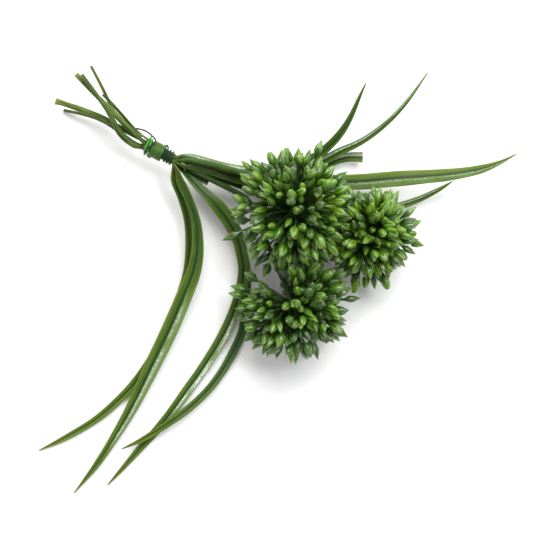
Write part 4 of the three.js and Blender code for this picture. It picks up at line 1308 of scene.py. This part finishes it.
def bud_wires(name, stem, places):
    """A wire from the knob to each bud's neck, which stores the bud's heading and size."""
    draw = random.Random(stem["seed"] + 1)
    middle = head_middle(stem)
    points, edges, headings, sizes, ends = [], [], [], [], []
    for i, (direction, reach) in enumerate(places):
        size = draw.uniform(*BUD_SIZE_RANGE)
        tilt = np.array([draw.uniform(-1, 1) for _ in range(3)])
        heading = unit(direction + tilt * (STRAY_TILT if i < len(stem["strays"]) else BUD_TILT))
        neck = middle + direction * (reach - size * BUD_LENGTH)
        if (neck + heading * size * BUD_LENGTH)[2] < TABLE_HEIGHT + TABLE_ROOM:
            heading = direction
        first = len(points)
        root = middle + direction * WIRE_ROOT
        bend = root * 0.5 + (neck - heading * WIRE_EASE) * 0.5
        points += [root, bend, neck - heading * WIRE_EASE * 0.5, neck]
        edges += [(first + step, first + step + 1) for step in range(WIRE_POINTS - 1)]
        headings += [heading] * WIRE_POINTS
        sizes += [size] * WIRE_POINTS
        ends += [0] * (WIRE_POINTS - 1) + [1]
    wires = wire_object(name + "_wires", points, edges)
    layers = wires.data.attributes
    heading_layer = layers.new("heading", "FLOAT_VECTOR", "POINT")
    heading_layer.data.foreach_set("vector", np.concatenate(headings).astype(np.float32))
    for key, values in (("size", sizes), ("end", ends)):
        layers.new(key, "FLOAT", "POINT").data.foreach_set("value", np.array(values, np.float32))
    return wires


# %% Short helpers for a Geometry Nodes tree
class NodeTree(NodeKit):
    """A Geometry Nodes tree with named inputs and short ways to add nodes."""

    def __init__(self, name, inputs):
        super().__init__(bpy.data.node_groups.new(name, "GeometryNodeTree"))
        self.tree.interface.new_socket("Geometry", in_out="INPUT", socket_type="NodeSocketGeometry")
        self.tree.interface.new_socket("Geometry", in_out="OUTPUT", socket_type="NodeSocketGeometry")
        self.ids = {}
        for key, kind in inputs.items():
            socket = self.tree.interface.new_socket(key, in_out="INPUT", socket_type=kind)
            self.ids[key] = socket.identifier
        self.inputs = self.tree.nodes.new("NodeGroupInput").outputs
        self.output = self.tree.nodes.new("NodeGroupOutput").inputs["Geometry"]

    def stored(self, name, data_type="FLOAT"):
        return self.add("GeometryNodeInputNamedAttribute", {"Name": name}, data_type=data_type)

    def store(self, geometry, name, value, domain):
        """The geometry with a number stored under this name."""
        inputs = {"Geometry": geometry, "Name": name, "Value": value}
        return self.add("GeometryNodeStoreNamedAttribute", inputs, data_type="FLOAT", domain=domain)

    def draw(self, low, high, seed):
        """A seeded draw between two numbers for each point."""
        return self.add("FunctionNodeRandomValue", {2: low, 3: high, "Seed": seed}, 1)

    def smooth_curve(self, wires):
        """Wires as curves that pass smoothly through their points."""
        line = self.add("GeometryNodeMeshToCurve", {"Mesh": wires})
        return self.add("GeometryNodeCurveSplineType", {"Curve": line}, spline_type="CATMULL_ROM")

    def circle(self, sides, radius):
        return self.add("GeometryNodeCurvePrimitiveCircle", {"Resolution": sides, "Radius": radius})

    def sweep(self, line, section):
        """A closed tube with this section along a curve."""
        inputs = {"Curve": line, "Profile Curve": section, "Fill Caps": True}
        return self.add("GeometryNodeCurveToMesh", inputs)

    def painted(self, geometry, material):
        return self.add("GeometryNodeSetMaterial", {"Geometry": geometry, "Material": material})

    def finish(self, geometry):
        """The tree itself, which now gives out this geometry, shaded smooth."""
        smooth = self.add("GeometryNodeSetShadeSmooth", {"Geometry": geometry})
        self.tree.links.new(smooth, self.output)
        return self

    def run_on(self, base, values, name):
        """The tree's result on a base object as a plain mesh piece. The base is removed."""
        modifier = base.modifiers.new("tree", "NODES")
        modifier.node_group = self.tree
        for key, value in values.items():
            modifier[self.ids[key]] = value
        graph = bpy.context.evaluated_depsgraph_get()
        mesh = bpy.data.meshes.new_from_object(
            base.evaluated_get(graph), preserve_all_data_layers=True, depsgraph=graph
        )
        mesh.name = name
        bpy.data.objects.remove(base)
        return placed(name, mesh)


# %% The tree of a head
STALK_SIDES = 6
STALK_STEPS = 7


def head_tree():
    """Stalks along wires and a bud on the end of each."""
    kit = NodeTree("head_of_buds", {
        "Stalk Radius": "NodeSocketFloat",
        "Full Bud": "NodeSocketObject",
        "Slim Bud": "NodeSocketObject",
        "Parting Bud": "NodeSocketObject",
        "Bud Finish": "NodeSocketMaterial",
        "Stalk Finish": "NodeSocketMaterial",
        "Ripest": "NodeSocketFloat",
        "Seed": "NodeSocketInt",
    })
    wires = kit.inputs["Geometry"]
    seed = kit.inputs["Seed"]
    line = kit.add("GeometryNodeResampleCurve", {"Curve": kit.smooth_curve(wires), "Count": STALK_STEPS})
    section = kit.circle(STALK_SIDES, kit.inputs["Stalk Radius"])
    stalks = kit.painted(kit.sweep(line, section), kit.inputs["Stalk Finish"])

    forms = [
        kit.add("GeometryNodeObjectInfo", {"Object": kit.inputs[key], "As Instance": True}, "Geometry")
        for key in ("Parting Bud", "Slim Bud", "Full Bud")
    ]
    choice = kit.add("GeometryNodeGeometryToInstance", {"Geometry": forms})
    heading = kit.stored("heading", "FLOAT_VECTOR")
    aimed = kit.add("FunctionNodeAlignRotationToVector", {"Vector": heading}, axis="Z")
    own_angle = kit.draw(0.0, 2 * math.pi, seed)
    own_turn = kit.add("FunctionNodeAxisAngleToRotation", {"Axis": (0, 0, 1), "Angle": own_angle})
    turn_inputs = {"Rotation": aimed, "Rotate By": own_turn}
    turned = kit.add("FunctionNodeRotateRotation", turn_inputs, rotation_space="LOCAL")
    which = kit.add("FunctionNodeRandomValue", {4: 0, 5: len(forms) - 1, "Seed": seed}, 2, data_type="INT")
    end_inputs = {0: kit.stored("end"), 1: 0.5}
    at_end = kit.add("FunctionNodeCompare", end_inputs, data_type="FLOAT", operation="GREATER_THAN")
    buds = kit.add("GeometryNodeInstanceOnPoints", {
        "Points": wires,
        "Selection": at_end,
        "Instance": choice,
        "Pick Instance": True,
        "Instance Index": which,
        "Rotation": turned,
        "Scale": kit.stored("size"),
    })
    buds = kit.store(buds, "tint", kit.draw(0.0, kit.inputs["Ripest"], seed), "INSTANCE")
    buds = kit.add("GeometryNodeRealizeInstances", {"Geometry": buds})
    buds = kit.painted(buds, kit.inputs["Bud Finish"])
    return kit.finish(kit.add("GeometryNodeJoinGeometry", {"Geometry": [stalks, buds]}))


# %% Heads
PEDICEL_RADIUS = 0.36

heads = head_tree()
for name, stem in FLOWER_STEMS.items():
    values = {
        "Stalk Radius": PEDICEL_RADIUS * MILLIMETRE,
        "Full Bud": bud_forms[0],
        "Slim Bud": bud_forms[1],
        "Parting Bud": bud_forms[2],
        "Bud Finish": BUD_FINISH,
        "Stalk Finish": PEDICEL_FINISH,
        "Ripest": stem["ripest"],
        "Seed": stem["seed"],
    }
    wires = bud_wires(name, stem, bud_plan[name])
    finished(heads.run_on(wires, values, name + "_head"), name)
for form in bud_forms:
    bpy.data.objects.remove(form)

# %% [markdown]
# ## The tie
#
# A flat strip is rolled once and a bit round the stems, its end over its start, and a thin thread is wound
# past both ends of it with one loose end. The strip is a small spiral loft. Of the thread's dense inner
# turns only a dark outline shows, so a plain sleeve stands for them. Its outer coils follow a path, so a
# second node tree sweeps a flattened section along it and twists it as thread twists.

# %% The strip
BAND_INNER_RADIUS = 2.8
BAND_THICKNESS = 0.4
BAND_WIDTH = 5.4
BAND_MIDDLE = -1.0
BAND_TURNS = 1.25
BAND_GROWTH_PER_TURN = 0.56
BAND_START = math.radians(225)
BAND_STEPS = 60
# The strip's section is (share of the half width, share of the thickness) along its inside and its outside
BAND_INSIDE = [(-1, 0.25), (-0.96, 0.0), (-0.5, -0.05), (0.5, -0.05), (0.96, 0.0), (1, 0.25)]
BAND_OUTSIDE = [(1, 0.75), (0.96, 1.0), (0.5, 1.12), (0, 1.0), (-0.5, 1.1), (-0.96, 1.0), (-1, 0.75)]


def strip():
    """The rolled strip with rounded edges and a faint groove along its outside."""
    section = BAND_INSIDE + BAND_OUTSIDE
    points, across, run = [], [], []
    for step in range(BAND_STEPS + 1):
        turns = BAND_TURNS * step / BAND_STEPS
        radius = BAND_INNER_RADIUS + BAND_GROWTH_PER_TURN * turns
        angle = BAND_START + 2 * math.pi * turns
        for side, depth in section:
            along = BAND_MIDDLE + side * BAND_WIDTH / 2
            points.append(tie_point(along, radius + depth * BAND_THICKNESS, angle))
            across.append(side)
            run.append(2 * math.pi * radius * turns)
    faces = capped_faces(BAND_STEPS + 1, len(section))
    return mesh_piece("tie_strip", np.array(points), faces, {"across": across, "run": run}, BAND_FINISH)


finished(strip(), "tie_band")

# %% The thread's inner turns
SLEEVE_SIDES = 28
# Rings are (place along the tie, radius) up the sleeve's outside and back down its inside
SLEEVE_RINGS = [
    (-6.5, 2.3),
    (-3, 2.5),
    (2, 2.48),
    (4.5, 2.42),
    (6.5, 2.3),
    (6.6, 2.18),
    (6.4, 2.08),
    (-6.4, 2.08),
]


def sleeve():
    """A sleeve with ribs of light and dark for the thread's dense inner turns."""
    angle = 2 * math.pi * np.arange(SLEEVE_SIDES) / SLEEVE_SIDES
    rings = [[tie_point(along, radius, turn) for turn in angle] for along, radius in SLEEVE_RINGS]
    point_count = len(rings) * SLEEVE_SIDES
    closed = ring_faces(len(rings) + 1, SLEEVE_SIDES)
    faces = [tuple(point % point_count for point in face) for face in closed]
    run = np.repeat([along * MILLIMETRE for along, _ in SLEEVE_RINGS], SLEEVE_SIDES)
    return mesh_piece("tie_sleeve", np.concatenate(rings), faces, {"run": run}, THREAD_FINISH)


finished(sleeve(), "tie_thread")

# %% The path of the thread's outer coils
THREAD_STEPS_PER_TURN = 24
THREAD_LIFT_STEEPNESS = 1.6
# The angle round the tie where the first coil ends
FIRST_COIL_END = math.radians(18)
# Coils are [turns, start along the tie, end along the tie, radius, end radius, bump over the strip]
THREAD_COILS = [
    [2.6, 6.2, 2.7, 2.68, 2.84, 0],
    [0.6, 2.7, -4.4, 2.84, 3.2, 1.45],
    [1.5, -4.4, -6.2, 3.2, 3.32, 0],
    [0.7, -6.2, -4.6, 4, 4, 0],
]
THREAD_FREE_END = [
    [-51.1, 57.4, 19.4],
    [-52.5, 59.6, 19.8],
    [-55.3, 61.7, 19.9],
    [-59.2, 62.8, 19.5],
]


def thread_path():
    """A wire along the thread's coils, its crossing over the strip and its loose end."""
    points = []
    angle = FIRST_COIL_END + THREAD_COILS[0][0] * 2 * math.pi
    for turns, start, end, radius, end_radius, bump in THREAD_COILS:
        steps = round(turns * THREAD_STEPS_PER_TURN)
        for step in range(steps):
            share = step / steps
            lift = bump * min(1, THREAD_LIFT_STEEPNESS * math.sin(math.pi * share))
            along = start + (end - start) * share
            away = radius + (end_radius - radius) * share + lift
            points.append(tie_point(along, away, angle - 2 * math.pi * turns * share))
        angle -= 2 * math.pi * turns
    points += [np.array(point) for point in THREAD_FREE_END]
    edges = [(i, i + 1) for i in range(len(points) - 1)]
    return wire_object("thread_wire", points, edges)


path = thread_path()
print("the thread's path has", len(path.data.vertices), "points")

# %% The tree of the thread
THREAD_SIDES = 8
THREAD_RADIUS = 0.4
THREAD_FLATNESS = 0.8
THREAD_TWIST_LENGTH = 1.4
THREAD_SPACING = 0.22


def thread_tree():
    """A flattened section swept and twisted along a wire."""
    kit = NodeTree("wound_thread", {
        "Radius": "NodeSocketFloat",
        "Flatness": "NodeSocketFloat",
        "Twist Length": "NodeSocketFloat",
        "Spacing": "NodeSocketFloat",
        "Finish": "NodeSocketMaterial",
    })
    line = kit.smooth_curve(kit.inputs["Geometry"])
    even_inputs = {"Curve": line, "Length": kit.inputs["Spacing"]}
    line = kit.add("GeometryNodeResampleCurve", even_inputs, mode="LENGTH")
    run = kit.add("GeometryNodeSplineParameter", {}, "Length")
    line = kit.store(line, "run", run, "POINT")
    turns = kit.maths("DIVIDE", run, kit.inputs["Twist Length"])
    twist = kit.times(turns, 2 * math.pi)
    line = kit.add("GeometryNodeSetCurveTilt", {"Curve": line, "Tilt": twist})
    ring = kit.circle(THREAD_SIDES, kit.inputs["Radius"])
    flat = kit.vector(1.0, kit.inputs["Flatness"], 1.0)
    ring = kit.add("GeometryNodeTransform", {"Geometry": ring, "Scale": flat})
    body = kit.add("GeometryNodeRealizeInstances", {"Geometry": kit.sweep(line, ring)})
    return kit.finish(kit.painted(body, kit.inputs["Finish"]))


thread_values = {
    "Radius": THREAD_RADIUS * MILLIMETRE,
    "Flatness": THREAD_FLATNESS,
    "Twist Length": THREAD_TWIST_LENGTH * MILLIMETRE,
    "Spacing": THREAD_SPACING * MILLIMETRE,
    "Finish": THREAD_FINISH,
}
thread = thread_tree().run_on(path, thread_values, "tie_twist")
finished(thread, "tie_thread")
